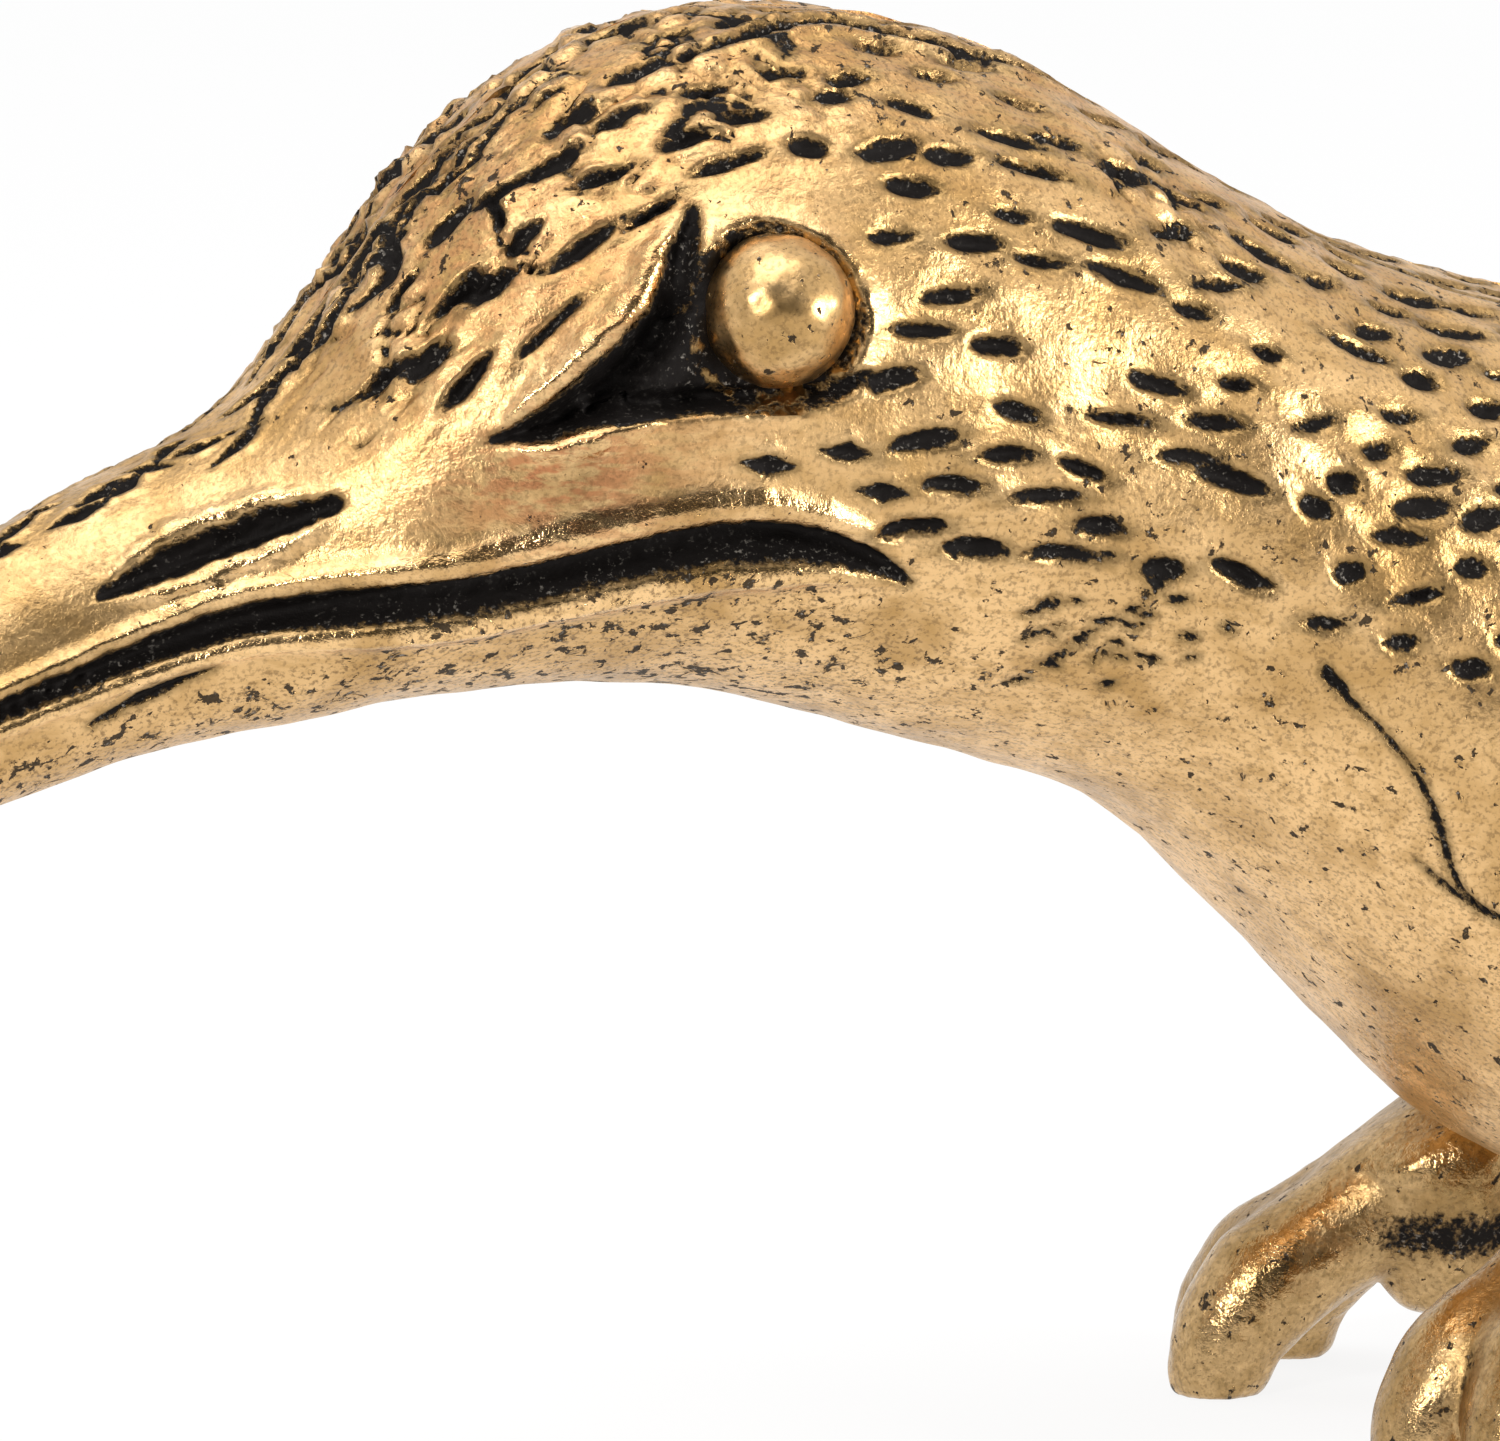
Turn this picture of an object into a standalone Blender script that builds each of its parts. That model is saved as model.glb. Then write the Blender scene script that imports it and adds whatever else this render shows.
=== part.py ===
"""A small cast brass hummingbird that stands on its toes, built as brazed-up castings.

The bird looks along -X, +Z is up, and the origin lies on the table under the middle of its box.
"along" is a distance behind the beak's tip, "height" one above the table, and side is -1 for the
bird's left (-Y) and +1 for its right (+Y). Lengths are in metres.
"""

import math

import bmesh
import bpy
import numpy as np
from mathutils import Matrix, Vector

MM = 0.001

# Joints between the castings
BRAZE_GAP = 0.10 * MM
DOWEL_DIAMETER = 2.2 * MM
NECK_DOWEL_LENGTH = 5.0 * MM
TRUNK_DOWEL_LENGTH = 7.0 * MM

# Beak
BEAK_LENGTH = 21.0 * MM
BEAK_TIP_HEIGHT = 4.65 * MM
BEAK_TIP_DEPTH = 0.7 * MM
BEAK_ROOT_DEPTH = 4.0 * MM
BEAK_ROOT_WIDTH = 4.3 * MM
BEAK_ROOT_RISE = 1.825 * MM

# Head, measured up from the chin and back from the face
HEAD_LENGTH = 11.0 * MM
HEAD_DEPTH = 8.9 * MM
HEAD_WIDTH = 8.4 * MM
CHIN_HEIGHT = 10.3 * MM

# Trunk with the neck
TRUNK_LENGTH = 19.0 * MM
TRUNK_DEPTH = 12.4 * MM
TRUNK_WIDTH = 11.6 * MM
BELLY_HEIGHT = 3.05 * MM

# Mouth, nostrils and eyes
MOUTH_WIDTH = 0.50 * MM
MOUTH_DEPTH = 0.65 * MM
GAPE_SETBACK = 7.95 * MM
NOSTRIL_LENGTH = 3.1 * MM
NOSTRIL_WIDTH = 0.55 * MM
NOSTRIL_DEPTH = 0.45 * MM
EYE_DIAMETER = 1.92 * MM
EYE_SETBACK = 6.1 * MM
EYE_RISE = 5.28 * MM
EYE_STEM_DIAMETER = 0.9 * MM
EYE_STEM_LENGTH = 1.9 * MM
LID_GAP = 0.28 * MM
LID_DEPTH = 0.55 * MM
TEAR_REACH = 3.7 * MM

# Folded wings
WING_LENGTH = 23.1 * MM
WING_SETBACK = 13.4 * MM
WING_CHORD = 5.4 * MM
WING_THICKNESS = 0.55 * MM
WING_FRONT_HEIGHT = 10.1 * MM
WING_TIP_HEIGHT = 9.55 * MM
WING_TIP_SPREAD = 7.8 * MM
FEATHER_WIDTH = 1.55 * MM
FEATHER_THICKNESS = 0.42 * MM
COVERT_LENGTH = 6.4 * MM
WING_PEG_DIAMETER = 1.3 * MM
WING_PEG_LENGTH = 1.5 * MM
PRIMARY_COUNT = 8
COVERT_COUNT = 6

# Tail fan
TAIL_LENGTH = 11.0 * MM
TAIL_DROP = 2.3 * MM
TAIL_FEATHER_WIDTH = 2.0 * MM
TAIL_FEATHER_THICKNESS = 0.55 * MM
TAIL_FEATHER_COUNT = 6
TAIL_FAN_ANGLE = math.radians(36)
TENON_LENGTH = 3.4 * MM
TENON_WIDTH = 2.0 * MM
TENON_THICKNESS = 0.9 * MM

# Legs and toes
LEG_SETBACK = 18.4 * MM
LEG_SPREAD = 5.6 * MM
THIGH_DIAMETER = 3.0 * MM
LEG_PEG_DIAMETER = 1.5 * MM
LEG_PEG_LENGTH = 2.0 * MM
TOE_REACH = 3.2 * MM
HIND_TOE_REACH = 2.9 * MM
TOE_DIAMETER = 1.7 * MM
TOE_ARCH_HEIGHT = 1.65 * MM
TOE_PAD_SINK = 0.18 * MM
FRONT_TOE_TURNS = (math.radians(8), math.radians(38), math.radians(68))
HIND_TOE_TURN = math.radians(205)

# Mesh fineness
RINGS_PER_SECTION = 3
HALF_RING_POINTS = 15
LIMB_POINTS = 8
ROUND_POINTS = 16

FACE = BEAK_LENGTH
NAPE = FACE + HEAD_LENGTH
RUMP = NAPE + TRUNK_LENGTH
OVERALL_LENGTH = RUMP + BRAZE_GAP + TAIL_LENGTH
WAIST_SHARE = 0.46
SIDES = ((-1, "left"), (1, "right"))

# Rows of the loft: the share of the zone's length, then shares of its sizes
# Beak: rise of the axis from tip to root, depth and width from tip to root
BEAK_FORM = (
    (0.00, 0.00, 0.00, 0.00),
    (0.30, 0.297, 0.285, 0.27),
    (0.60, 0.600, 0.573, 0.48),
    (0.84, 0.840, 0.803, 0.64),
    (0.93, 0.932, 0.897, 0.76),
    (1.00, 1.00, 1.00, 1.00),
)
# Head: upper edge and lower edge above the chin by depth, half width
HEAD_FORM = (
    (0.08, 0.510, -0.006, 0.61),
    (0.22, 0.734, 0.017, 0.76),
    (0.36, 0.888, 0.026, 0.87),
    (0.52, 0.974, 0.019, 0.94),
    (0.66, 0.988, -0.013, 0.98),
    (0.81, 0.965, -0.067, 1.00),
    (0.96, 0.910, -0.125, 1.005),
)
# Trunk: upper edge and lower edge above the belly by depth, half width
TRUNK_FORM = (
    (0.063, 1.165, 0.442, 0.76),
    (0.147, 1.089, 0.335, 0.82),
    (0.23, 1.027, 0.210, 0.888),
    (0.32, 0.984, 0.080, 0.948),
    (0.474, 0.927, 0.000, 1.00),
    (0.63, 0.850, 0.032, 0.922),
    (0.79, 0.734, 0.161, 0.741),
    (0.92, 0.613, 0.306, 0.517),
    (1.00, 0.556, 0.371, 0.397),
)


def body_rows():
    """The cross-sections of the body: along, upper height, lower height, half width."""
    rows = []
    root_height = CHIN_HEIGHT + BEAK_ROOT_RISE
    for share, rise, depth_share, width_share in BEAK_FORM:
        axis = BEAK_TIP_HEIGHT + (root_height - BEAK_TIP_HEIGHT) * rise
        depth = BEAK_TIP_DEPTH + (BEAK_ROOT_DEPTH - BEAK_TIP_DEPTH) * depth_share
        width = BEAK_TIP_DEPTH + (BEAK_ROOT_WIDTH - BEAK_TIP_DEPTH) * width_share
        rows.append((BEAK_LENGTH * share, axis + depth / 2, axis - depth / 2, width / 2))
    for share, upper, lower, width_share in HEAD_FORM:
        rows.append((FACE + HEAD_LENGTH * share, CHIN_HEIGHT + HEAD_DEPTH * upper,
                     CHIN_HEIGHT + HEAD_DEPTH * lower, HEAD_WIDTH / 2 * width_share))
    for share, upper, lower, width_share in TRUNK_FORM:
        rows.append((NAPE + TRUNK_LENGTH * share, BELLY_HEIGHT + TRUNK_DEPTH * upper,
                     BELLY_HEIGHT + TRUNK_DEPTH * lower, TRUNK_WIDTH / 2 * width_share))
    return np.array(rows)


def spline_bends(knots, values):
    """Second derivatives of the natural cubic spline through the values."""
    gaps = np.diff(knots)
    slopes = np.diff(values, axis=0) / gaps[:, None]
    system = np.eye(len(knots))
    right = np.zeros_like(values)
    for i in range(1, len(knots) - 1):
        system[i, i - 1:i + 2] = gaps[i - 1], 2 * (gaps[i - 1] + gaps[i]), gaps[i]
        right[i] = 6 * (slopes[i] - slopes[i - 1])
    return np.linalg.solve(system, right)


BODY_ROWS = body_rows()
KNOTS, FORMS = BODY_ROWS[:, 0], BODY_ROWS[:, 1:]
BENDS = spline_bends(KNOTS, FORMS)


def section(along):
    """Upper height, lower height and half width of the body at that distance."""
    i = int(np.clip(np.searchsorted(KNOTS, along) - 1, 0, len(KNOTS) - 2))
    gap = KNOTS[i + 1] - KNOTS[i]
    a = (KNOTS[i + 1] - along) / gap
    b = 1 - a
    bend = ((a**3 - a) * BENDS[i] + (b**3 - b) * BENDS[i + 1]) * gap**2 / 6
    return a * FORMS[i] + b * FORMS[i + 1] + bend


def breadth(form, height):
    """Half breadth of a section at a height, from its upper, lower and widest places."""
    upper, lower, half_width = form
    waist = lower + WAIST_SHARE * (upper - lower)
    reach = (upper - waist) if height > waist else (waist - lower)
    return half_width * math.sqrt(max(0.0, 1 - ((height - waist) / reach) ** 2))


def place(along, across, height):
    """A point of the bird in the part's own frame."""
    return Vector((along - OVERALL_LENGTH / 2, across, height))


def skin(side, along, height, sink=0.0):
    """The point of the body's side at a height, sunk inwards."""
    return place(along, side * (breadth(section(along), height) - sink), height)


def skin_normal(side, along, height):
    """Outward direction of the body's side."""
    step = 0.05 * MM
    run = skin(side, along + step, height) - skin(side, along - step, height)
    rise = skin(side, along, height + step) - skin(side, along, height - step)
    normal = run.cross(rise).normalized()
    return normal if normal.y * side > 0 else -normal


def brass(name, colour, roughness):
    material = bpy.data.materials.new(name)
    material.use_nodes = True
    shader = material.node_tree.nodes["Principled BSDF"]
    shader.inputs["Base Color"].default_value = (*colour, 1.0)
    shader.inputs["Metallic"].default_value = 1.0
    shader.inputs["Roughness"].default_value = roughness
    return material


def add_object(name, mesh, material=None):
    """Finish a bmesh as a named, smooth object. A tool with no material stays out of renders."""
    bmesh.ops.recalc_face_normals(mesh, faces=mesh.faces)
    data = bpy.data.meshes.new(name)
    mesh.to_mesh(data)
    mesh.free()
    data.shade_smooth()
    data.set_sharp_from_angle(angle=math.radians(40))
    made = bpy.data.objects.new(name, data)
    bpy.context.scene.collection.objects.link(made)
    if material is None:
        made.hide_render = True
        made.display_type = "WIRE"
    else:
        data.materials.append(material)
    return made


def add_loft(name, rings, material=None):
    """Extrude a closed rim from ring to ring and close the two ends."""
    mesh = bmesh.new()
    rim = [mesh.verts.new(point) for point in rings[0]]
    edges = [mesh.edges.new(pair) for pair in zip(rim, rim[1:] + rim[:1])]
    for ring in rings[1:]:
        grown = bmesh.ops.extrude_edge_only(mesh, edges=edges)["geom"]
        fresh = {item for item in grown if isinstance(item, bmesh.types.BMVert)}
        rim = [next(e.other_vert(v) for e in v.link_edges if e.other_vert(v) in fresh) for v in rim]
        edges = [e for e in grown if isinstance(e, bmesh.types.BMEdge) and fresh.issuperset(e.verts)]
        for vert, point in zip(rim, ring):
            vert.co = point
    bmesh.ops.holes_fill(mesh, edges=mesh.edges)
    return add_object(name, mesh, material)


def add_cylinder(name, start, end, diameter, material=None):
    mesh = bmesh.new()
    axis = end - start
    turn = axis.to_track_quat("Z", "Y").to_matrix().to_4x4()
    bmesh.ops.create_cone(
        mesh, cap_ends=True, segments=ROUND_POINTS, radius1=diameter / 2, radius2=diameter / 2,
        depth=axis.length, matrix=Matrix.Translation((start + end) / 2) @ turn,
    )
    return add_object(name, mesh, material)


def add_ball(name, centre, diameter, material=None):
    mesh = bmesh.new()
    bmesh.ops.create_uvsphere(
        mesh, u_segments=ROUND_POINTS, v_segments=ROUND_POINTS // 2, radius=diameter / 2,
        matrix=Matrix.Translation(centre) @ Matrix.Rotation(math.pi / 2, 4, "X"),
    )
    return add_object(name, mesh, material)


def combine(target, tools, operation):
    """Join tools to a piece, or cut them out of it, all in one step."""
    group = bpy.data.collections.new(f"{target.name}_{operation.lower()}")
    bpy.context.scene.collection.children.link(group)
    for tool in tools:
        group.objects.link(tool)
    modifier = target.modifiers.new(group.name, "BOOLEAN")
    modifier.operation = operation
    modifier.operand_type = "COLLECTION"
    modifier.collection = group
    modifier.solver = "EXACT"


def round_ring(centre, forward, up, radius, up_radius, count=LIMB_POINTS):
    """An oval ring square to a direction, with its second radius towards up."""
    aside = forward.cross(up).normalized()
    upward = aside.cross(forward).normalized()
    turns = [2 * math.pi * i / count for i in range(count)]
    return [centre + aside * radius * math.cos(t) + upward * up_radius * math.sin(t) for t in turns]


def directions(path):
    """Unit tangents along a list of points."""
    ends = zip([path[0]] + path[:-1], path[1:] + [path[-1]])
    return [(after - before).normalized() for before, after in ends]


def add_limb(name, path, radii, up, material=None):
    """A round tapering tube along a path."""
    rings = [round_ring(p, d, up, r, r) for p, d, r in zip(path, directions(path), radii)]
    return add_loft(name, rings, material)


def add_slit(name, side, route, widths, depths):
    """A spindle along the body's side, half sunk in it, that cuts a groove of this width and depth."""
    path = [skin(side, along, height) for along, height in route]
    rings = []
    for (along, height), point, forward, width, depth in zip(
        route, path, directions(path), widths, depths
    ):
        normal = skin_normal(side, along, height)
        rings.append(round_ring(point, forward, normal, width / 2, depth))
    return add_loft(name, rings)


def half_ring(side, along, grow=0.0):
    """One half of a cross-section, flat towards the other half."""
    upper, lower, half_width = section(along)
    waist = lower + WAIST_SHARE * (upper - lower)
    seam = BRAZE_GAP / 2
    ring = []
    for turn in np.linspace(0, math.pi, HALF_RING_POINTS):
        reach = (upper - waist) if turn < math.pi / 2 else (waist - lower)
        across = seam + (half_width + grow - seam) * abs(math.sin(turn))
        ring.append(place(along, side * across, waist + (reach + grow) * math.cos(turn)))
    return ring


def ring_places():
    """Distances of the loft's rings: each stretch between two sections in equal steps."""
    counts = np.arange((len(KNOTS) - 1) * RINGS_PER_SECTION + 1) / RINGS_PER_SECTION
    return np.interp(counts, np.arange(len(KNOTS)), KNOTS)


def grown_body():
    """The whole body with the braze gap added all round, for cutting seats."""
    rings = []
    for along in ring_places():
        near = half_ring(-1, along, BRAZE_GAP)
        far = half_ring(1, along, BRAZE_GAP)
        rings.append(near[:-1] + far[:0:-1])
    return add_loft("seat_tool", rings)


def mouth_route():
    """The mouth's line from the gape over the cheek and out along the middle of the beak."""
    on_head = (
        (GAPE_SETBACK, 0.195),
        (0.86 * GAPE_SETBACK, 0.243),
        (0.66 * GAPE_SETBACK, 0.262),
        (0.45 * GAPE_SETBACK, 0.232),
        (0.20 * GAPE_SETBACK, 0.190),
    )
    route = [(FACE + back, CHIN_HEIGHT + HEAD_DEPTH * rise) for back, rise in on_head]
    for share in (0.98, 0.86, 0.68, 0.50, 0.32, 0.14):
        upper, lower, _ = section(BEAK_LENGTH * share)
        route.append((BEAK_LENGTH * share, lower + 0.47 * (upper - lower)))
    return route


def mouth_tool(side, label):
    route = mouth_route()
    fading = (0.35, 0.9, 1.0, 0.95, 0.85, 0.8, 0.72, 0.6, 0.46, 0.34, 0.16)
    widths = [MOUTH_WIDTH * share for share in fading]
    depths = [MOUTH_DEPTH * share for share in fading]
    return add_slit(f"mouth_tool_{label}", side, route, widths, depths)


def nostril_tool(side, label):
    """A slit that rises from the beak's side towards the forehead."""
    front = FACE - 0.65 * NOSTRIL_LENGTH
    route = []
    for share in (0.0, 0.25, 0.5, 0.75, 1.0):
        along = front + NOSTRIL_LENGTH * share
        upper, lower, _ = section(along)
        route.append((along, lower + 0.72 * (upper - lower)))
    fading = (0.25, 0.85, 1.0, 0.9, 0.3)
    widths = [NOSTRIL_WIDTH * share for share in fading]
    depths = [NOSTRIL_DEPTH * share for share in fading]
    return add_slit(f"nostril_tool_{label}", side, route, widths, depths)


def eye_centre(side):
    return skin(side, FACE + EYE_SETBACK, CHIN_HEIGHT + EYE_RISE, sink=0.15 * EYE_DIAMETER / 2)


def lid_outline():
    """The eye opening as (along, height): round behind the bead, drawn to a tear in front."""
    radius = EYE_DIAMETER / 2 + LID_GAP
    half_tip = math.acos(radius / TEAR_REACH)
    tear_turn = math.radians(203)
    centre = Vector((FACE + EYE_SETBACK, CHIN_HEIGHT + EYE_RISE))
    turns = np.linspace(half_tip, 2 * math.pi - half_tip, ROUND_POINTS - 1) + tear_turn
    outline = [centre + Vector((math.cos(t), math.sin(t))) * radius for t in turns]
    return outline + [centre + Vector((math.cos(tear_turn), math.sin(tear_turn))) * TEAR_REACH]


def lid_tool(side, label):
    """Cuts the eye opening: a wall round the outline and a floor that follows the head."""
    outline = lid_outline()
    centre = Vector((FACE + EYE_SETBACK, CHIN_HEIGHT + EYE_RISE))
    rings = []
    steps = ((1.0, -EYE_DIAMETER / 2), (1.0, LID_DEPTH * 0.55), (0.5, LID_DEPTH), (0.1, LID_DEPTH))
    for shrink, sink in steps:
        points = [centre + (corner - centre) * shrink for corner in outline]
        rings.append([skin(side, p.x, p.y, sink) for p in points])
    return add_loft(f"lid_tool_{label}", rings)


def add_eye(side, label, material):
    """A bead on a stem, pressed into the head."""
    centre = eye_centre(side)
    bead = add_ball(f"eye_{label}", centre, EYE_DIAMETER, material)
    inwards = Vector((0, -side, 0))
    stem_end = centre + inwards * (EYE_DIAMETER / 2 + EYE_STEM_LENGTH)
    stem = add_cylinder(f"eye_stem_{label}", centre, stem_end, EYE_STEM_DIAMETER)
    combine(bead, [stem], "UNION")
    return bead


def eye_seat_tools(side, label):
    """The round seat behind the bead and the bore for its stem."""
    centre = eye_centre(side)
    seat = add_ball(f"eye_seat_tool_{label}", centre, EYE_DIAMETER + 2 * BRAZE_GAP)
    bore_end = centre + Vector((0, -side, 0)) * (EYE_DIAMETER / 2 + EYE_STEM_LENGTH + BRAZE_GAP)
    bore_width = EYE_STEM_DIAMETER + 2 * BRAZE_GAP
    return seat, add_cylinder(f"eye_bore_tool_{label}", centre, bore_end, bore_width)


def dowel_spots():
    """Name, along, height and length of the dowels that line up the two halves."""
    return (
        ("neck_dowel", FACE + 0.86 * HEAD_LENGTH, CHIN_HEIGHT + 0.30 * HEAD_DEPTH, NECK_DOWEL_LENGTH),
        ("trunk_dowel", NAPE + 0.56 * TRUNK_LENGTH, BELLY_HEIGHT + 0.52 * TRUNK_DEPTH, TRUNK_DOWEL_LENGTH),
    )


def add_dowel(name, along, height, length, diameter, material=None):
    start, end = place(along, -length / 2, height), place(along, length / 2, height)
    return add_cylinder(name, start, end, diameter, material)


def wing_form(along):
    """The bed under a wing: the trunk's own section, and behind it a slower taper to the tips."""
    parting = NAPE + 0.60 * TRUNK_LENGTH
    wing_end = FACE + WING_SETBACK + WING_LENGTH
    if along <= parting:
        return section(along)
    start = section(parting)
    end_depth = 0.55 * (start[0] - start[1])
    upper, lower = WING_TIP_HEIGHT + 0.45 * end_depth, WING_TIP_HEIGHT - 0.55 * end_depth
    end = np.array([upper, lower, WING_TIP_SPREAD / 2])
    share = (along - parting) / (wing_end - parting)
    return start + (end - start) * share


def wing_point(side, spot, lift):
    """A point of the wing over (along, height), lifted off its bed."""
    bed = breadth(wing_form(spot.x), spot.y) + BRAZE_GAP
    return place(spot.x, side * (bed + lift), spot.y)


def leaf_rings(root, tip, width, low, high, crown, to_point):
    """Rings of one feather: it rises from its root to a blade with a raised shaft and a round tip."""
    run = tip - root
    aside = Vector((-run.y, run.x)).normalized()
    rings = []
    for share in (0.0, 0.2, 0.45, 0.65, 0.8, 0.91, 0.97, 1.0):
        round_off = math.sqrt(max(0.04, 1 - max(0.0, (share - 0.6) / 0.4) ** 2))
        half = width / 2 * round_off * (0.72 + 0.28 * min(1.0, share / 0.45))
        middle = root + run * share
        near, far = middle - aside * half, middle + aside * half
        rise = 0.25 + 0.75 * min(1.0, share / 0.4)
        edge, shaft = low + (high - low) * rise, low + (high + crown - low) * rise
        rings.append([
            to_point(near, low), to_point(near, edge), to_point(middle, shaft),
            to_point(far, edge), to_point(far, low), to_point(middle, low),
        ])
    return rings


def wing_spot(share, rise):
    """(along, height) on the wing: its share of the length, and chords above its middle line."""
    along = FACE + WING_SETBACK + WING_LENGTH * share
    middle = WING_FRONT_HEIGHT + (WING_TIP_HEIGHT - WING_FRONT_HEIGHT) * share
    return Vector((along, middle + WING_CHORD * rise))


def wing_base(side, label, material):
    """The plate under the feathers: blunt at the shoulder, deepest over the flank."""
    form = (
        (0.00, 0.02, 0.10, 0.20),
        (0.04, -0.26, 0.20, 0.36),
        (0.065, -0.38, 0.25, 0.50),
        (0.09, -0.46, 0.28, 0.62),
        (0.115, -0.49, 0.315, 0.76),
        (0.16, -0.52, 0.36, 0.95),
        (0.22, -0.53, 0.41, 1.0),
        (0.28, -0.53, 0.45, 1.0),
        (0.42, -0.49, 0.46, 0.9),
        (0.56, -0.42, 0.40, 0.8),
        (0.70, -0.33, 0.30, 0.7),
    )
    lifts = (0.70, 0.88, 0.97, 1.0, 0.97, 0.88, 0.70)
    rings = []
    for share, lower, upper, swell in form:
        rises = np.linspace(lower, upper, len(lifts))
        spots = [wing_spot(share, rise) for rise in rises]
        inner = [wing_point(side, spot, -2 * BRAZE_GAP) for spot in spots]
        outer = [wing_point(side, spot, WING_THICKNESS * swell * lift) for spot, lift in zip(spots, lifts)]
        rings.append(inner + outer[::-1])
    return add_loft(f"wing_{label}", rings, material)


def wing_feathers(side, label):
    """Flight feathers, longest lowest, and the shorter coverts that lap over their roots."""
    def to_point(spot, lift):
        return wing_point(side, spot, lift)

    made = []
    for i in range(PRIMARY_COUNT):
        rank = i / (PRIMARY_COUNT - 1)
        root = wing_spot(0.26 + 0.02 * rank, -0.42 + 0.78 * rank)
        tip = wing_spot(1.0 - 0.46 * rank, -0.02 + 0.30 * rank)
        low = -BRAZE_GAP * (0.6 + 0.05 * i)
        high = WING_THICKNESS * (0.30 + 0.03 * i) + FEATHER_THICKNESS
        rings = leaf_rings(root, tip, FEATHER_WIDTH, low, high, 0.3 * FEATHER_THICKNESS, to_point)
        made.append(add_loft(f"flight_feather_{label}_{i}", rings))
    for i in range(COVERT_COUNT):
        rank = i / (COVERT_COUNT - 1)
        root = wing_spot(0.12 + 0.03 * rank, -0.30 + 0.46 * rank)
        tip = wing_spot(0.42 - 0.03 * rank, -0.34 + 0.64 * rank)
        stretch = COVERT_LENGTH / (tip - root).length
        low = -BRAZE_GAP * (1.1 + 0.05 * i)
        high = WING_THICKNESS * (0.34 + 0.02 * i) + 1.45 * FEATHER_THICKNESS
        rings = leaf_rings(root, root + (tip - root) * stretch, FEATHER_WIDTH, low, high,
                           0.3 * FEATHER_THICKNESS, to_point)
        made.append(add_loft(f"covert_{label}_{i}", rings))
    return made


def wing_peg(side, label, rank, grow=0.0):
    """A peg on the wing's inner face, or the hole for it when grown."""
    spot = (wing_spot(0.22, 0.02), wing_spot(0.44, 0.02))[rank]
    inner = wing_point(side, spot, -WING_PEG_LENGTH - BRAZE_GAP - grow)
    outer = wing_point(side, spot, 0.15 * WING_THICKNESS)
    role = "hole_tool" if grow else "peg"
    return add_cylinder(f"wing_{role}_{label}_{rank}", inner, outer, WING_PEG_DIAMETER + 2 * grow)


def add_wing(side, label, seat, material):
    """The plate and its feathers as one casting, fitted to the flank, with two pegs."""
    wing = wing_base(side, label, material)
    combine(wing, wing_feathers(side, label), "UNION")
    combine(wing, [seat], "DIFFERENCE")
    combine(wing, [wing_peg(side, label, rank) for rank in (0, 1)], "UNION")
    return wing


def tail_point(spot, lift):
    """A point of the tail over (along, across), lifted off its middle sheet, which droops and arches."""
    back = (spot.x - RUMP) / TAIL_LENGTH
    upper, lower, _ = section(RUMP)
    droop = TAIL_DROP * back
    arch = 0.035 / MM * spot.y**2
    return place(spot.x, spot.y, (upper + lower) / 2 - droop - arch + lift)


def add_tail(material):
    """A root that carries on the rump, a fan of lapped feathers, and a tenon between the halves."""
    upper, lower, half_width = section(RUMP)
    half_depth = (upper - lower) / 2
    start = RUMP + BRAZE_GAP
    rings = []
    for share, deep, wide in ((0.0, 0.94, 0.96), (0.12, 0.72, 1.02), (0.26, 0.45, 1.1), (0.42, 0.24, 1.15)):
        middle = tail_point(Vector((start + TAIL_LENGTH * share, 0.0)), 0.0)
        rings.append(round_ring(middle, Vector((1, 0, 0)), Vector((0, 0, 1)),
                                half_width * wide, half_depth * deep, ROUND_POINTS))
    tail = add_loft("tail", rings, material)
    parts = [tenon("tenon", 0.0)]
    for i in range(TAIL_FEATHER_COUNT):
        turn = TAIL_FAN_ANGLE * (i / (TAIL_FEATHER_COUNT - 1) - 0.5)
        middle_rank = 1 - abs(2 * i / (TAIL_FEATHER_COUNT - 1) - 1)
        root = Vector((start + 0.10 * TAIL_LENGTH, 0.5 * half_width * turn / TAIL_FAN_ANGLE))
        reach = TAIL_LENGTH * (0.90 - 0.06 * abs(turn) / TAIL_FAN_ANGLE)
        tip = root + Vector((reach, reach * math.tan(turn)))
        low = TAIL_FEATHER_THICKNESS * (-0.7 + 0.35 * middle_rank + 0.04 * i)
        rings = leaf_rings(root, tip, TAIL_FEATHER_WIDTH, low, low + TAIL_FEATHER_THICKNESS,
                           0.3 * TAIL_FEATHER_THICKNESS, tail_point)
        parts.append(add_loft(f"tail_feather_{i}", rings))
    combine(tail, parts, "UNION")
    return tail


def tenon(name, grow):
    """The tail's tongue, or the mortise for it when grown."""
    mesh = bmesh.new()
    length = TENON_LENGTH + BRAZE_GAP + grow
    reach = 0.25 * TENON_LENGTH
    size = Matrix.Diagonal((length + reach, TENON_WIDTH + 2 * grow, TENON_THICKNESS + 2 * grow, 1.0))
    upper, lower, _ = section(RUMP)
    middle = place(RUMP + BRAZE_GAP + (reach - length) / 2, 0.0, (upper + lower) / 2)
    bmesh.ops.create_cube(mesh, size=1.0, matrix=Matrix.Translation(middle) @ size)
    return add_object(name, mesh)


def leg_top(side):
    """Where the leg's axis meets the belly, and the ankle below it."""
    along = FACE + LEG_SETBACK
    upper, lower, half_width = section(along)
    waist = lower + WAIST_SHARE * (upper - lower)
    aside = LEG_SPREAD / 2
    height = waist - (waist - lower) * math.sqrt(1 - (aside / half_width) ** 2)
    return place(along, side * aside, height)


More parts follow.
